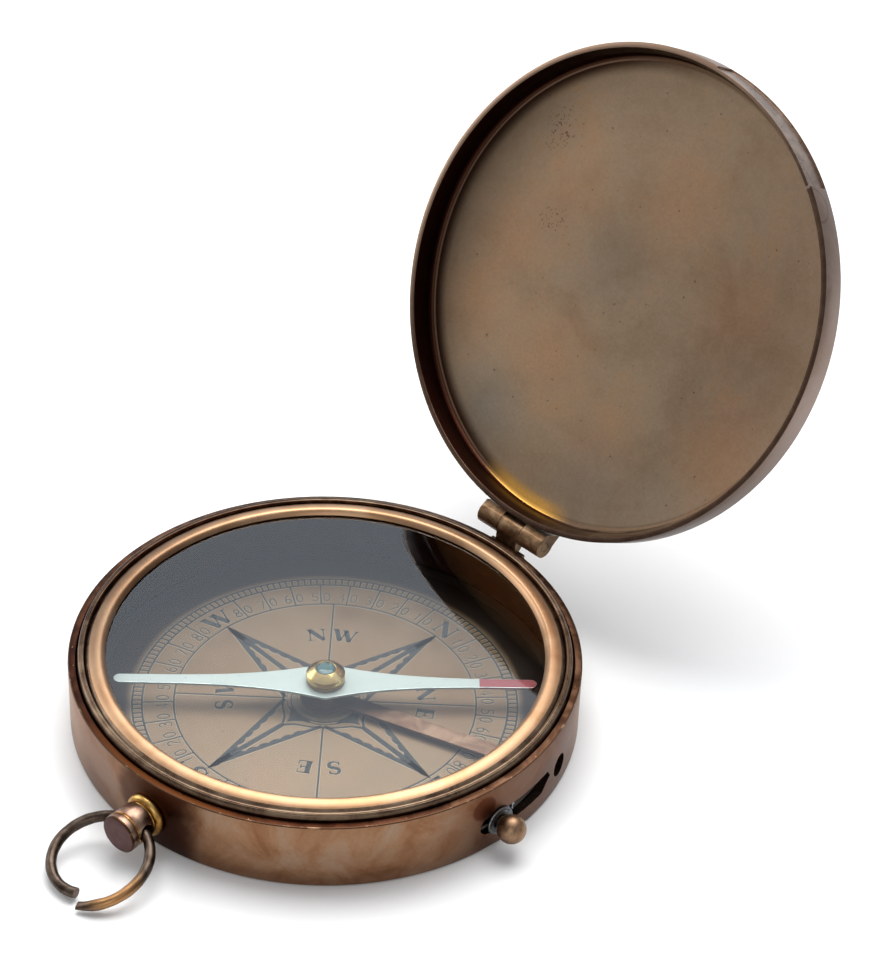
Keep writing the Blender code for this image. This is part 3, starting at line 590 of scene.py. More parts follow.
def soften(made, width, index=-1, segments=2, angle=38.0):
    """Rounds the edges; the rounded strips can take a finish of their own."""
    step = made.modifiers.new("soft_edges", "BEVEL")
    step.width = width * MM
    step.segments = segments
    step.limit_method = "ANGLE"
    step.angle_limit = radians(angle)
    step.material = index
    step.harden_normals = True
    return made


def outward(angle, height, distance=0.0, unit=MM):
    """A frame on the case's radial line at an angle, with its Z pointing out."""
    direction = Vector((*polar(1, angle), 0))
    turn = direction.to_track_quat("Z", "Y").to_matrix().to_4x4()
    return Matrix.Translation((direction * distance + Vector((0, 0, height))) * unit) @ turn


def across(angle, height, distance):
    """A frame in millimetres with its Z along the circle at a point of a radial line."""
    direction = Vector((-sin(angle), cos(angle), 0))
    turn = direction.to_track_quat("Z", "Y").to_matrix().to_4x4()
    return Matrix.Translation((*polar(distance, angle), height)) @ turn


def opened():
    """Swings a closed lid piece to its open place."""
    axis = Vector((0, HINGE_Y, HINGE_Z)) * MM
    return Matrix.Translation(axis) @ Matrix.Rotation(-LID_OPEN, 4, "X") @ Matrix.Translation(-axis)


def place_piece(made, body, slot, *nodes):
    """Says which body a piece moves with, and hides the CAD nodes that it stands for; slot is not used."""
    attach(made, body)
    if nodes:
        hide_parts(*nodes)
    return made


# ---------------------------------------------------------------- case and rings

def slot_shape(index):
    """The lock slot's cutter: round on the left, filed to a point on the right."""
    half, steps = SLOT_HALF, 12
    left = radians(-8.0) + half / CASE_R
    right = radians(15.3)
    straight = right - radians(3.4)
    outline = [(left + x / CASE_R, SLOT_Z + z) for x, z in oval(0, 0, half, half, 90, 270, steps)]
    outline += [(left + (straight - left) * k / steps, SLOT_Z - half) for k in range(1, steps + 1)]
    outline += [(right, SLOT_Z + 0.3), (right - radians(1.2), SLOT_Z + half)]
    outline += [(left + (straight - left) * k / steps, SLOT_Z + half) for k in range(steps, 0, -1)]
    shape = bmesh.new()
    rings = [[shape.verts.new((*polar(r, a), z)) for a, z in outline] for r in (CASE_R - 2, CASE_R + 1)]
    skin(shape, rings)
    for ring in rings:
        shape.faces.new(ring)
    bmesh.ops.triangulate(shape, faces=shape.faces)
    for face in shape.faces:
        face.material_index = index
    return shape


def make_case(finishes):
    """Finishes: wall, shoulder, cut sides, inside, rubbed edges."""
    inside = CASE_R - WALL
    profile = [
        (0, 0, 0), (CASE_R - 0.5, 0, 0), (CASE_R - 0.15, 0.15, 0), (CASE_R, 0.6, 0),
        (CASE_R, 3.0, 0), (CASE_R, 6.0, 0), (CASE_R, CASE_H - 0.2, 4),
        (CASE_R - 0.06, CASE_H - 0.06, 4), (CASE_R - 0.2, CASE_H, 1),
        (37.3, CASE_H, 1), (inside + 0.1, CASE_H - 0.02, 1), (inside, CASE_H - 0.12, 3),
        (inside, FLOOR, 3), (0, FLOOR, 3),
    ]
    case = turned("case_wall", profile, finishes, 240)
    holes = bmesh.new()
    for radius, angle, height in ((SCREW_HOLE, ARM_ANGLE, SCREW_Z), (STUD_HOLE, STUD_ANGLE, STUD_Z)):
        rod(holes, radius, -3, 3, outward(angle, height, CASE_R - 0.5, 1.0), 40, 2)
    carve(case, to_object("cut_slot", slot_shape(2), finishes), to_object("cut_holes", holes, finishes))
    soften(case, 0.07, 4, 2, 50.0)
    return place_piece(case, "case", "antique_brass", "case_body")


def make_seat_ring(finishes):
    outer = CASE_R - WALL - 0.2
    profile = [(outer, 10.15, 0), (34.3, 10.15, 0), (34.3, 9.45, 0), (outer - 0.5, 9.45, 0),
               (outer - 0.5, 7.6, 0), (outer, 7.6, 0)]
    ring = turned("glass_ledge", profile, finishes)
    soften(ring, 0.05)
    return place_piece(ring, "case", "dark_brass", "glass_seat_ring")


def make_band(finishes):
    """The ring round the glass, with two turned lines on its top."""
    low, top = 10.25, CASE_H
    profile = [
        (35.6, low, 1), (36.65, low, 1), (36.65, top + 0.08, 1), (36.58, top + 0.2, 0),
        (36.56, top + 0.55, 0), (36.48, top + 0.75, 0), (36.36, top + 0.88, 0), (36.26, top + 0.92, 0),
        (36.2, top + 0.86, 0), (36.14, top + 0.86, 0), (36.08, top + 0.95, 0), (35.95, top + 0.98, 0),
        (35.9, top + 0.93, 0), (35.85, top + 0.93, 0), (35.8, top + 0.98, 0), (35.7, top + 0.95, 1),
        (35.6, top + 0.8, 1),
    ]
    return place_piece(turned("rim_band_turned", profile, finishes, 240), "case", "antique_brass", "rim_band")


def make_bezel(finishes):
    """The half-round ring that holds the glass: its crown lies well in, over a long outer slope."""
    base, crown, inner, outer, ridge = 11.4, 12.4, 32.45, 35.4, 33.4
    out_steps, in_steps, dull_steps = 16, 10, 4
    profile = [(inner + 0.1, base, 1), (outer, base, 1)]
    for step in range(out_steps + 1):
        radius = outer - (outer - ridge) * step / out_steps
        height = crown - 0.75 * ((radius - ridge) / (outer - ridge)) ** 2
        profile.append((radius, height, 2 if step < dull_steps else 0))
    for step in range(1, in_steps + 1):
        radius = ridge - (ridge - inner) * step / in_steps
        profile.append((radius, crown - 0.8 * ((ridge - radius) / (ridge - inner)) ** 2.2, 0))
    ring = turned("bezel_copper_ring", profile, finishes, 256)
    return place_piece(ring, "case", "polished_copper", "bezel_ring")


def make_glass(finish):
    edge, radius, low, top = 0.12, 35.35, 10.2, 11.35
    profile = [(0, low, 0), (radius - edge, low, 0), (radius, low + edge, 0), (radius, top - edge, 0),
               (radius - edge, top, 0), (0, top, 0)]
    return place_piece(turned("window_pane", profile, [finish], 192), "case", "window_glass", "glass")


# ---------------------------------------------------------------- dial

# Centre lines of thin numerals, each 1 tall and centred on its place
DIGITS = {
    "0": [oval(0, 0, 0.24, 0.48)],
    "1": [[(-0.14, 0.3), (0, 0.5), (0, -0.5)]],
    "2": [oval(0, 0.25, 0.23, 0.24, 165, -20, 12) + [(-0.24, -0.48), (0.26, -0.48)]],
    "3": [oval(-0.02, 0.25, 0.22, 0.23, 150, -90, 12) + oval(-0.02, -0.24, 0.25, 0.25, 90, -150, 12)],
    "4": [[(0.1, -0.5), (0.1, 0.5), (-0.28, -0.2), (0.28, -0.2)]],
    "5": [[(0.22, 0.48), (-0.17, 0.48), (-0.2, 0.06)] + oval(-0.02, -0.19, 0.25, 0.29, 125, -150, 14)],
    "6": [oval(0, -0.22, 0.23, 0.26), oval(0.16, -0.18, 0.39, 0.66, 168, 95, 8)],
    "7": [[(-0.24, 0.34), (-0.24, 0.48), (0.25, 0.48), (-0.06, -0.5)]],
    "8": [oval(0, 0.25, 0.2, 0.23), oval(0, -0.24, 0.25, 0.25)],
}


def letter_strokes(letter):
    """(points, widths) of a roman letter with serifs, 1 tall and centred on its place."""
    thick, thin, foot = 0.31, 0.1, 0.09
    if letter == "N":
        return [([(-0.4, -0.5), (-0.4, 0.5)], thin), ([(0.4, -0.5), (0.4, 0.5)], thin),
                ([(-0.43, 0.5), (0.39, -0.5)], thick),
                ([(-0.62, 0.48), (-0.28, 0.48)], foot), ([(-0.56, -0.48), (-0.24, -0.48)], foot),
                ([(0.24, 0.48), (0.56, 0.48)], foot)]
    if letter == "E":
        return [([(-0.22, -0.5), (-0.22, 0.5)], thick), ([(-0.4, 0.475), (0.36, 0.475)], foot),
                ([(-0.4, -0.475), (0.36, -0.475)], foot), ([(-0.2, 0.0), (0.2, 0.0)], foot),
                ([(0.34, 0.5), (0.34, 0.24)], [0.03, 0.1]),
                ([(0.36, -0.5), (0.36, -0.2)], [0.03, 0.11]),
                ([(0.2, 0.14), (0.2, -0.14)], thin)]
    if letter == "W":
        return [([(-0.6, 0.5), (-0.26, -0.5)], thick), ([(-0.26, -0.5), (0.03, 0.42)], thin),
                ([(-0.04, 0.5), (0.3, -0.5)], thick), ([(0.3, -0.5), (0.6, 0.5)], thin),
                ([(-0.78, 0.48), (-0.44, 0.48)], foot), ([(-0.2, 0.48), (0.12, 0.48)], foot),
                ([(0.46, 0.48), (0.74, 0.48)], foot)]
    spine = oval(0, 0.25, 0.26, 0.25, 20, 230, 10) + oval(0.01, -0.24, 0.28, 0.26, 60, -160, 12)[1:]
    widths = [0.07 + 0.18 * sin(pi * k / (len(spine) - 1)) ** 1.5 for k in range(len(spine))]
    return [(spine, widths), ([(0.27, 0.5), (0.27, 0.22)], thin), ([(-0.28, -0.5), (-0.28, -0.2)], thin)]


class Engraving:
    """Flat strokes in the dial's plane; grow widens them all, for the pale copy round the ink that is a
    painted highlight along the cut.
    """

    DIGIT_WIDTH = 0.23

    def __init__(self, grow=0.0):
        self.shape = bmesh.new()
        self.grow = grow

    def stroke(self, points, widths, closed=False):
        """Adds a stroke along points; widths are its full widths at them."""
        count = len(points)
        pairs = []
        for k, (x, y) in enumerate(points):
            before = points[k - 1] if (k or closed) else points[k]
            after = points[(k + 1) % count] if (k < count - 1 or closed) else points[k]
            dx, dy = after[0] - before[0], after[1] - before[1]
            length = hypot(dx, dy) or 1.0
            half = ((widths[k] if isinstance(widths, list) else widths) + self.grow) / 2
            nx, ny = -dy / length * half, dx / length * half
            pairs.append([self.shape.verts.new(side) for side in ((x + nx, y + ny, 0), (x - nx, y - ny, 0))])
        last = count if closed else count - 1
        for k in range(last):
            first, second = pairs[k], pairs[(k + 1) % count]
            self.shape.faces.new((first[0], first[1], second[1], second[0]))

    def turn(self, points, bearing):
        """Turns points about the dial's middle; bearing is in degrees from north."""
        angle = radians(bearing)
        return [(cos(angle) * x + sin(angle) * y, -sin(angle) * x + cos(angle) * y) for x, y in points]

    def write(self, glyph, radius, bearing, size, stretch=1.0):
        """Puts a digit or letter with its top away from the middle."""
        def placed(points):
            return self.turn([(x * size * stretch, radius + y * size) for x, y in points], bearing)

        if glyph.isdigit():
            for points in DIGITS[glyph]:
                self.stroke(placed(points), self.DIGIT_WIDTH)
            return
        for points, widths in letter_strokes(glyph):
            scaled = [w * size for w in widths] if isinstance(widths, list) else widths * size
            self.stroke(placed(points), scaled)

    def circle(self, radius, width, steps=240):
        self.stroke(oval(0, 0, radius, radius, 0, 360 - 360 / steps, steps - 1), width, closed=True)

    def radial(self, bearing, inner, outer, width):
        self.stroke(self.turn([(0, inner), (0, outer)], bearing), width)

    def dart(self, bearing):
        """One star point: a bold rim with lobes on its inner edge, and a straight rib up the middle."""
        tip, corner, notch, steps, rib_steps = 23.0, 4.45, 8.6, 90, 24

        def placed(points):
            return self.turn(points, bearing)

        for side in (-1, 1):
            rim = []
            for k in range(steps + 1):
                y = corner + (tip - corner) * k / steps
                edge = corner * (1 - k / steps)
                lobe = abs(sin((y - 7.2) / 1.85 * pi)) if y > 7.2 else 0.0
                bold = min(0.66 + 0.4 * lobe, edge + 0.01)
                rim.append(((edge - bold / 2) * side, y, bold))
            self.stroke(placed([(x, y) for x, y, _ in rim]), [w for _, _, w in rim])
        rib = []
        for k in range(rib_steps + 1):
            y = notch + (tip - notch) * k / rib_steps
            rib.append((y, min(0.9, 2 * corner * (tip - y) / (tip - corner) + 0.01)))
        self.stroke(placed([(0, y) for y, _ in rib]), [w for _, w in rib])
        for side in (-1, 1):
            self.stroke(placed([(0, notch), (1.1 * side, 7.1), (3.1 * side, 5.8), (corner * side, corner)]),
                        [0.5, 0.42, 0.34, 0.25])
        fill = [(-2.6, 5.15), (-1.6, 5.6), (-0.6, 6.6), (0, 7.7), (0.6, 6.6), (1.6, 5.6), (2.6, 5.15)]
        fill = placed(fill + [(sin(radians(a)) * 5.2, cos(radians(a)) * 5.2) for a in (20, 0, -20)])
        self.shape.faces.new([self.shape.verts.new((x, y, 0)) for x, y in fill])


def engraving_shape(grow=0.0):
    cut = Engraving(grow)
    for radius, width in ((28.85, 0.32), (27.4, 0.32), (22.65, 0.3), (5.75, 0.16), (5.15, 0.24), (4.2, 0.14)):
        cut.circle(radius, width)
    for k in range(180):
        cut.radial(2.0 * k + 1.0, 27.4, 28.85, 0.3)
    for k in range(36):
        if k % 9:
            cut.radial(10.0 * k, 22.65, 27.4, 0.28)
    for k in range(60):
        cut.radial(6.0 * k, 4.3, 5.0, 0.14)
    for bearing in (45, 135, 225, 315):
        cut.radial(bearing, 6.3, 22.65, 0.32)
    for k in range(4):
        cut.dart(90.0 * k)
    for quarter in range(4):
        for tens in range(1, 9):
            north = quarter in (0, 3)
            bearing = (10 * tens if north else 180 - 10 * tens) * (1 if quarter in (0, 1) else -1)
            cut.write(str(tens), 24.35, bearing - 2.2, 1.9)
            cut.write("0", 24.35, bearing + 2.2, 1.9)
    for letter, bearing in (("N", 0), ("E", 90), ("S", 180), ("W", 270)):
        cut.write(letter, 24.9, bearing, 3.0, 1.05)
    for pair, bearing in (("NE", 45), ("SE", 135), ("SW", 225), ("NW", 315)):
        cut.write(pair[0], 15.2, bearing - 8.3, 2.6)
        cut.write(pair[1], 15.2, bearing + 8.3, 2.6)
    return cut.shape


def make_dial(face, ink, edge):
    profile = [(0.75, 1.05, 0), (DIAL_R, 1.05, 0), (DIAL_R, DIAL_TOP - 0.1, 0), (DIAL_R - 0.1, DIAL_TOP, 0),
               (34.2, DIAL_TOP, 0), (34.05, DIAL_TOP - 0.04, 0), (33.9, DIAL_TOP, 0), (0.75, DIAL_TOP, 0)]
    dial = turned("dial_face_plate", profile, [face], 192)
    place_piece(dial, "case", "dial_metal", "dial_plate")
    turn = Matrix.Rotation(DIAL_TURN, 4, "Z")
    # The second, grown and shifted pale copy is a painted highlight along the engraved cuts
    for name, grow, finish, shift in (("dial_engraving", 0.0, ink, (0, 0, 0.02)),
                                      ("dial_engraving_painted_highlight", 0.12, edge, (0.04, -0.04, 0.01))):
        place = Matrix.Translation((Vector(shift) + Vector((0, 0, DIAL_TOP))) * MM) @ turn
        place_piece(to_object(name, engraving_shape(grow), [finish], place), "case", "dial_metal")


# ---------------------------------------------------------------- needle

def make_needle(finish, edge):
    """The blade: slim arms that swell to the hub, with round tips."""
    half_length, half_width, tip, waist = 31.6, 4.0, 0.95, 3.3
    low, thick, hub_hole, steps = 4.95, 0.4, 1.43, 32
    reach = half_length - tip
    quarter = [(reach * k / steps, tip + (half_width - tip) * (1 - k / steps) ** waist)
               for k in range(steps + 1)]
    quarter += oval(reach, 0, tip, tip, 75, 0, 5)
    outline = quarter + [(x, -y) for x, y in reversed(quarter[:-1])] + [(-x, -y) for x, y in quarter[1:]]
    outline += [(-x, y) for x, y in reversed(quarter[1:-1])]
    shape = bmesh.new()
    bottom = shape.faces.new([shape.verts.new((x, y, low)) for x, y in outline])
    grown = bmesh.ops.extrude_face_region(shape, geom=[bottom])["geom"]
    bmesh.ops.translate(shape, verts=[v for v in grown if isinstance(v, bmesh.types.BMVert)],
                        vec=(0, 0, thick))
    needle = to_object("needle_blade", shape, [finish, edge])
    hole = bmesh.new()
    rod(hole, hub_hole, low - 1, low + 2, Matrix.Identity(4), 48)
    carve(needle, to_object("cut_hub", hole, [finish]))
    needle.matrix_world = Matrix.Rotation(NEEDLE_ANGLE, 4, "Z")
    soften(needle, 0.07, 1, 2, 45.0)
    return place_piece(needle, "needle", "needle_steel", "needle")


def make_cap(finishes):
    """The cap over the needle's middle: a grooved drum with a coned top round the jewel."""
    under, over, top, radius = 4.87, 5.43, 7.85, 2.88
    profile = [
        (0.95, 3.95, 1), (1.95, 3.95, 1), (2.15, 4.15, 1), (2.15, under, 1), (1.35, under, 1),
        (1.35, over, 1), (radius - 0.1, over, 1), (radius, over + 0.1, 1), (radius, over + 0.62, 1),
        (radius - 0.13, over + 0.66, 1),
        (radius - 0.13, over + 0.76, 0), (radius, over + 0.8, 0), (radius, over + 1.14, 0),
        (radius - 0.07, over + 1.18, 0), (radius - 0.07, over + 1.24, 0), (radius, over + 1.28, 0),
        (radius, top - 0.84, 0), (radius - 0.06, top - 0.78, 0), (1.66, top - 0.04, 0), (1.58, top, 0),
        (1.5, top - 0.05, 1), (1.5, top - 1.15, 1), (0.95, top - 1.15, 1),
    ]
    cap = turned("needle_cap_turned", profile, finishes, 96, sharp=18.0)
    return place_piece(cap, "needle", "yellow_brass", "needle_cap")


def make_jewel(finish):
    """The domed stone let into the cap."""
    seat, top, radius, dome = 6.8, 7.73, 1.42, 0.2
    profile = [(0, seat, 0), (radius, seat, 0), (radius, top, 0)]
    for angle in (20, 40, 60, 75):
        profile.append((radius * cos(radians(angle)), top + dome * sin(radians(angle)), 0))
    profile.append((0, top + dome, 0))
    stone = turned("jewel_stone_dome", profile, [finish], 64)
    return place_piece(stone, "needle", "jewel_stone", "cap_jewel")


# ---------------------------------------------------------------- lock

def make_shoe(finishes):
    """The lock's shoe behind the slot, with the coarse teeth that show through it."""
    shape = bmesh.new()
    bent_box(shape, 35.2, 36.35, -6.5, 4.5, 2.9, 6.3, 16)
    shoe = to_object("lock_shoe", shape, finishes)
    bore = bmesh.new()
    rod(bore, 1.08, -3, 3, outward(LOCK_ANGLE, SLOT_Z, 36, 1.0), 32)
    carve(shoe, to_object("cut_shoe", bore, finishes))
    soften(shoe, 0.08, 0, 2, 45.0)
    place_piece(shoe, "lock", "blued_steel", "lock_slide")
    teeth = bmesh.new()
    pitch, half_tooth = 0.68, 0.21
    for k in range(6):
        middle = pitch * k - 0.75
        outer = 37.3 + 0.15 * ((k * 5) % 3)
        bottom = 3.1 + 0.1 * ((k * 7) % 3) + max(0.0, 0.55 * middle)
        top = 5.9 - max(0.0, 0.8 * (middle - 2.2))
        bent_box(teeth, 36.2, outer, middle - half_tooth, middle + half_tooth, bottom, top, 2, 1)
    comb = to_object("lock_shoe_teeth", teeth, finishes)
    soften(comb, 0.09, 1, 2, 45.0)
    place_piece(comb, "lock", "blued_steel")
    foot = bmesh.new()
    bent_box(foot, 31.7, 35.1, -2.0, 0.4, 1.9, 3.3, 4)
    foot = to_object("lock_shoe_foot", foot, finishes)
    soften(foot, 0.08, 0, 2, 45.0)
    place_piece(foot, "lock", "blued_steel")


def make_washer(finish):
    profile = [(1.1, 38.12, 0), (2.3, 38.12, 0), (2.32, 38.3, 0), (2.22, 38.45, 0), (2.0, 38.5, 0),
               (1.85, 38.44, 0), (1.7, 38.5, 0), (1.45, 38.58, 0), (1.1, 38.55, 0)]
    washer = turned("lock_washer_ring", profile, [finish], 64, outward(LOCK_ANGLE, SLOT_Z))
    return place_piece(washer, "lock", "blued_steel", "lock_washer")


def make_knob(finishes):
    """The lock's ball, slightly faceted by the file."""
    neck, ball, away = 1.0, 2.15, 40.6
    first = degrees(asin(1.2 / ball))
    profile = [(0, 35.5, 1), (neck, 35.5, 1), (neck, 38.7, 1), (1.2, 38.72, 0)]
    for k in range(15):
        angle = radians(first + (172 - first) * k / 14)
        profile.append((ball * sin(angle), away - ball * cos(angle), 0))
    profile.append((0, away + ball * cos(radians(8)), 0))
    knob = turned("lock_knob_ball", profile, finishes, 48, outward(LOCK_ANGLE, SLOT_Z))
    return place_piece(knob, "lock", "antique_brass", "lock_knob")


# ---------------------------------------------------------------- stud and bow ring

def make_stud(finishes):
    """The bow's stud: a golden domed flange, a pinkish collar with the cross hole, and a flat head."""
    profile = [
        (0, 35.3, 1), (1.1, 35.3, 1), (1.1, 38.05, 1), (3.2, 38.05, 0), (3.3, 38.2, 0), (3.3, 38.45, 0),
        (3.22, 38.75, 0), (3.02, 39.0, 0), (2.75, 39.15, 0), (2.52, 39.2, 0), (2.46, 39.3, 0), (2.5, 39.4, 0),
        (2.68, 39.44, 1), (2.83, 39.56, 1), (2.88, 39.8, 1), (2.9, 41.0, 1), (2.9, 42.15, 1),
        (2.82, 42.28, 0), (2.7, 42.33, 0), (2.68, 42.42, 0), (2.74, 42.52, 0), (2.88, 42.6, 1),
        (2.95, 42.72, 1), (2.95, 43.6, 3), (2.9, 43.82, 3), (2.78, 43.92, 2), (2.6, 43.95, 2),
        (0.9, 43.93, 2), (0.3, 43.9, 2), (0, 43.9, 2),
    ]
    stud = turned("bow_stud_turned", profile, finishes, 80, outward(STUD_ANGLE, STUD_Z))
    hole = bmesh.new()
    rod(hole, 1.3, -4.5, 4.5, across(STUD_ANGLE, STUD_Z, BOW_HOLE), 40, 4)
    cutter = to_object("cut_cross_hole", hole, finishes)
    carve(stud, cutter)
    soften(stud, 0.06, 3, 2, 50.0)
    return place_piece(stud, "case", "antique_brass", "bow_stud")


def make_bow(finishes):
    """The split ring: one end cut flat and bent in, the other filed to a blunt wedge."""
    out = Vector((cos(STUD_ANGLE), sin(STUD_ANGLE), 0))
    side = Vector((-sin(STUD_ANGLE), cos(STUD_ANGLE), 0))
    reach_length, wire, radius = 6.9, 0.8, 7.2
    drop = asin((STUD_Z - 0.85) / (reach_length + 1.06 * radius))
    reach = out * cos(drop) - Vector((0, 0, 1)) * sin(drop)
    hole = out * BOW_HOLE + Vector((0, 0, STUD_Z))
    centre = reach * reach_length
    normal = reach.cross(side)
    shape = bmesh.new()
    first, last, steps, sides, filed = radians(-190), radians(161), 150, 28, 7
    rings = []
    for step in range(steps + 1):
        angle = first + (last - first) * step / steps
        sprung = max(0.0, abs(angle) - radians(95)) / radians(90)
        bend = -1.05 if angle < 0 else 1.0
        spoke = -reach * cos(angle) + side * sin(angle)
        middle = centre + spoke * (radius + bend * sprung ** 1.6)
        taper = max(0.0, (step - (steps - filed)) / filed)
        wobble = 1.0 + 0.018 * sin(step * 0.37) + 0.012 * sin(step * 0.91)
        ring = []
        for k in range(sides):
            turn = tau * k / sides
            thick = wire * wobble * (1 - 0.55 * taper * abs(sin(turn)) - 0.12 * taper)
            ring.append(shape.verts.new(middle + (spoke * cos(turn) + normal * sin(turn)) * thick))
        rings.append(ring)
    bare = skin(shape, rings)[-3 * sides:]
    for face in bare + [shape.faces.new(rings[0]), shape.faces.new(rings[-1])]:
        face.material_index = 1
    bow = to_object("bow_ring_wire", shape, finishes, Matrix.Translation(hole * MM))
    return place_piece(bow, "bow", "antique_brass", "bow_ring")


# ---------------------------------------------------------------- lid

def make_lid(finishes):
    """Finishes: outside, inside, inner wall, lip, filed nick."""
    top = LID_RIM + LID_DEPTH
    inside = top - 0.9
    profile = [
        (0, inside, 1), (12, inside, 1), (24, inside, 1), (35.6, inside, 1), (35.98, inside - 0.08, 1),
        (36.3, inside - 0.29, 2), (36.52, inside - 0.62, 2), (36.6, inside - 1.0, 2),
        (36.62, LID_RIM + 1.52, 2), (36.8, LID_RIM + 1.0, 2), (37.0, LID_RIM + 0.4, 2),
        (37.12, LID_RIM + 0.1, 3), (37.17, LID_RIM + 0.03, 3), (37.3, LID_RIM, 3),
        (CASE_R - 0.2, LID_RIM, 3), (CASE_R - 0.05, LID_RIM + 0.05, 3), (CASE_R, LID_RIM + 0.17, 0),
        (CASE_R, LID_RIM + 2.0, 0), (CASE_R, top - 0.6, 0), (CASE_R - 0.05, top - 0.36, 0),
        (CASE_R - 0.18, top - 0.15, 0), (CASE_R - 0.4, top - 0.03, 0), (CASE_R - 0.65, top, 0), (30, top, 0),
        (15, top, 0), (0, top, 0),
    ]
    lid = turned("lid_shell", profile, finishes, 256)
    nick = bmesh.new()
    bent_box(nick, CASE_R - 0.35, CASE_R + 1.0, -86, -48, LID_RIM - 1, top - 0.6, 48, 4)
    carve(lid, to_object("cut_nick", nick, finishes))
    lid.matrix_world = opened()
    soften(lid, 0.05, 3, 2, 50.0)
    place_piece(lid, "lid", "lid_brass", "lid_rim", "lid_plate")
    burr = bmesh.new()
    bent_box(burr, 37.05, 37.75, -48.4, -47.7, LID_RIM - 0.05, LID_RIM + 0.1, 3)
    burr = to_object("lid_lip_burr", burr, [finishes[4]], opened())
    soften(burr, 0.05)
    return place_piece(burr, "lid", "lid_brass")


# ---------------------------------------------------------------- assembly

def repaint(node, finish):
    """Gives a CAD node that stays a finish of its own."""
    slots = NODES[node].material_slots
    for slot in slots:
        slot.material = finish
    if not slots:
        NODES[node].data.materials.append(finish)


def build():
    case, shoulder, inner = finish_case(), finish_shoulder(), finish_inner_wall()
    edge = finish_edge()
    gold, arm = finish_gold(), finish_arm()
    blued = finish_steel("blued_steel_dark", (0.012, 0.016, 0.024), (0.07, 0.09, 0.11))
    washer = finish_steel("washer_steel", (0.05, 0.052, 0.058), (0.2, 0.2, 0.205))
    glint = finish_steel("toothed_steel", (0.05, 0.07, 0.1), (0.6, 0.68, 0.74))
    knob, knuckle = finish_knob(), finish_knuckle()
    # The slot's cut sides are made near black: painted shade inside the slot
    cut = finish_steel("slot_sides", (0.006, 0.004, 0.003), (0.02, 0.012, 0.008), (0.6, 0.8))
    make_case([case, shoulder, cut, inner, edge])
    make_seat_ring([inner])
    band = finish_band()
    make_band([band, shoulder])
    make_bezel([finish_bezel(), shoulder, band])
    make_glass(finish_glass())
    make_dial(finish_dial(), finish_ink(), finish_cut_edge())
    make_needle(finish_needle(), finish_edge("needle_edge", (0.7, 0.75, 0.72), (0.4, 0.46, 0.44), 0.5))
    make_cap([gold, finish_stud("dark_gold", spread((0.2, 0.12, 0.04), (0.34, 0.23, 0.09)))])
    make_jewel(finish_jewel())
    make_shoe([blued, glint])
    make_washer(washer)
    make_knob([knob, blued])
    golden = finish_stud("stud_gold", spread((0.24, 0.1, 0.022), (0.42, 0.23, 0.06), (0.6, 0.39, 0.13)),
                         (0.26, 0.36))
    pink = finish_stud("stud_pink", spread((0.16, 0.08, 0.055), (0.26, 0.155, 0.11), (0.38, 0.25, 0.175)))
    purple = finish_stud("stud_face", spread((0.09, 0.042, 0.038), (0.15, 0.085, 0.08)), (0.35, 0.5))
    make_stud([golden, pink, purple, edge, inner])
    make_bow([finish_wire(), finish_edge("wire_ends", (0.12, 0.08, 0.06), (0.05, 0.03, 0.02), 0.5)])
    outside = finish_lid_outside()
    make_lid([outside, finish_lid_inside(), finish_lid_wall(), finish_lid_edge(), finish_nick()])
    for node in ("lid_knuckle_left", "lid_knuckle_right", "case_knuckle", "hinge_pin"):
        repaint(node, knuckle)
    for node in ("pivot_post", "lift_collar", "arm_bracket", "arm_screw", "stud_nut"):
        repaint(node, gold)
    repaint("lifter_arm", arm)
    repaint("arm_pin", blued)


def add_floor():
    half_side, drop = 900, 0.02
    shape = bmesh.new()
    corners = ((-1, -1), (1, -1), (1, 1), (-1, 1))
    shape.faces.new([shape.verts.new((x * half_side, y * half_side, -drop)) for x, y in corners])
    to_object("floor", shape, [finish_floor()])


def add_light(name, place, aim, width, height, power):
    light = bpy.data.lights.new(name, "AREA")
    light.shape = "RECTANGLE"
    light.size = width * MM
    light.size_y = height * MM
    light.energy = power
    turn = (Vector(aim) - Vector(place)).to_track_quat("-Z", "Y").to_matrix().to_4x4()
    add_object(name, light, Matrix.Translation(Vector(place) * MM) @ turn)


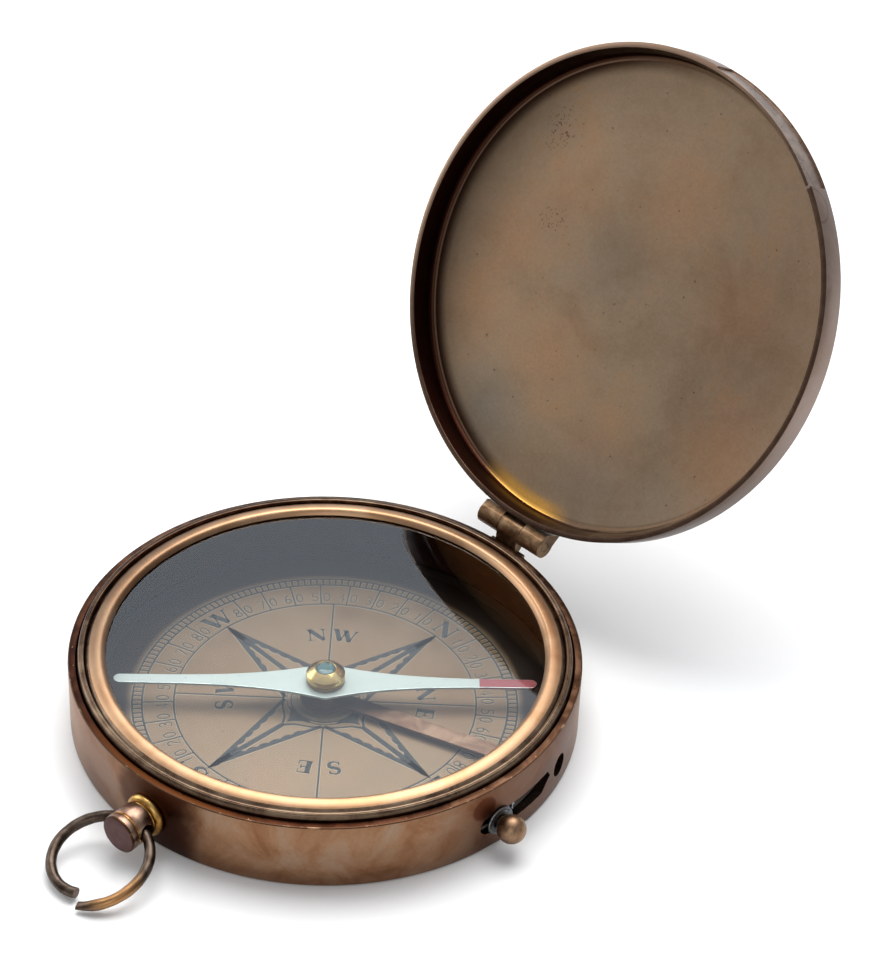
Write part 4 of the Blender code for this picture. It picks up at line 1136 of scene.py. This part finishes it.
def add_world():
    """A plain pale surround, with a soft brighter patch that the glass mirrors."""
    world = bpy.data.worlds.new("soft_studio")
    world.use_nodes = True
    tree = world.node_tree
    place = add_node(tree, "ShaderNodeTexCoord").outputs["Generated"]
    bright = Vector((-0.56, 0.53, 0.64)).normalized()
    towards = add_node(tree, "ShaderNodeVectorMath", {0: place, 1: bright}, operation="DOT_PRODUCT")
    towards = towards.outputs["Value"]
    ramp = add_node(tree, "ShaderNodeValToRGB", {0: towards})
    stops = ((0.0, (0.3, 0.3, 0.31, 1.0)), (0.9, (0.92, 0.95, 1.0, 1.0)))
    for point, (position, colour) in zip(ramp.color_ramp.elements, stops):
        point.position = position
        point.color = colour
    patch = add_node(tree, "ShaderNodeMapRange", {
        "Value": towards, "From Min": 0.93, "From Max": 0.985, "To Min": 1.0, "To Max": 1.65,
    }, interpolation_type="SMOOTHSTEP")
    background = tree.nodes["Background"]
    tree.links.new(ramp.outputs[0], background.inputs["Color"])
    tree.links.new(patch.outputs[0], background.inputs["Strength"])
    bpy.context.scene.world = world


def add_camera():
    """The photograph's viewpoint: from the right of the front, 37 degrees above, with a slight roll."""
    azimuth, elevation, roll = radians(43.6), radians(36.91), radians(2.45)
    back = Vector((sin(azimuth) * cos(elevation), -cos(azimuth) * cos(elevation),
                   sin(elevation)))
    right = Vector((cos(azimuth), sin(azimuth), 0))
    up = back.cross(right)
    turned_right = right * cos(roll) + up * sin(roll)
    turned_up = up * cos(roll) - right * sin(roll)
    lens = bpy.data.cameras.new("camera")
    lens.lens = 109.45
    lens.sensor_width = 36.0
    lens.clip_start = 0.01
    lens.clip_end = 10.0
    rotation = Matrix((turned_right, turned_up, back)).transposed().to_4x4()
    place = Matrix.Translation(Vector((243.67, -232.93, 295.01)) * MM) @ rotation
    bpy.context.scene.camera = add_object("camera", lens, place)


add_camera()
build()
add_floor()
add_world()
add_light("overhead", (-80, 140, 420), (0, 10, 10), 420, 320, 2.4)
add_light("left_fill", (-420, -160, 200), (0, 0, 20), 300, 300, 0.8)
add_light("right_fill", (320, -380, 260), (0, 10, 20), 320, 320, 0.5)
bpy.context.scene.view_settings.view_transform = "Standard"
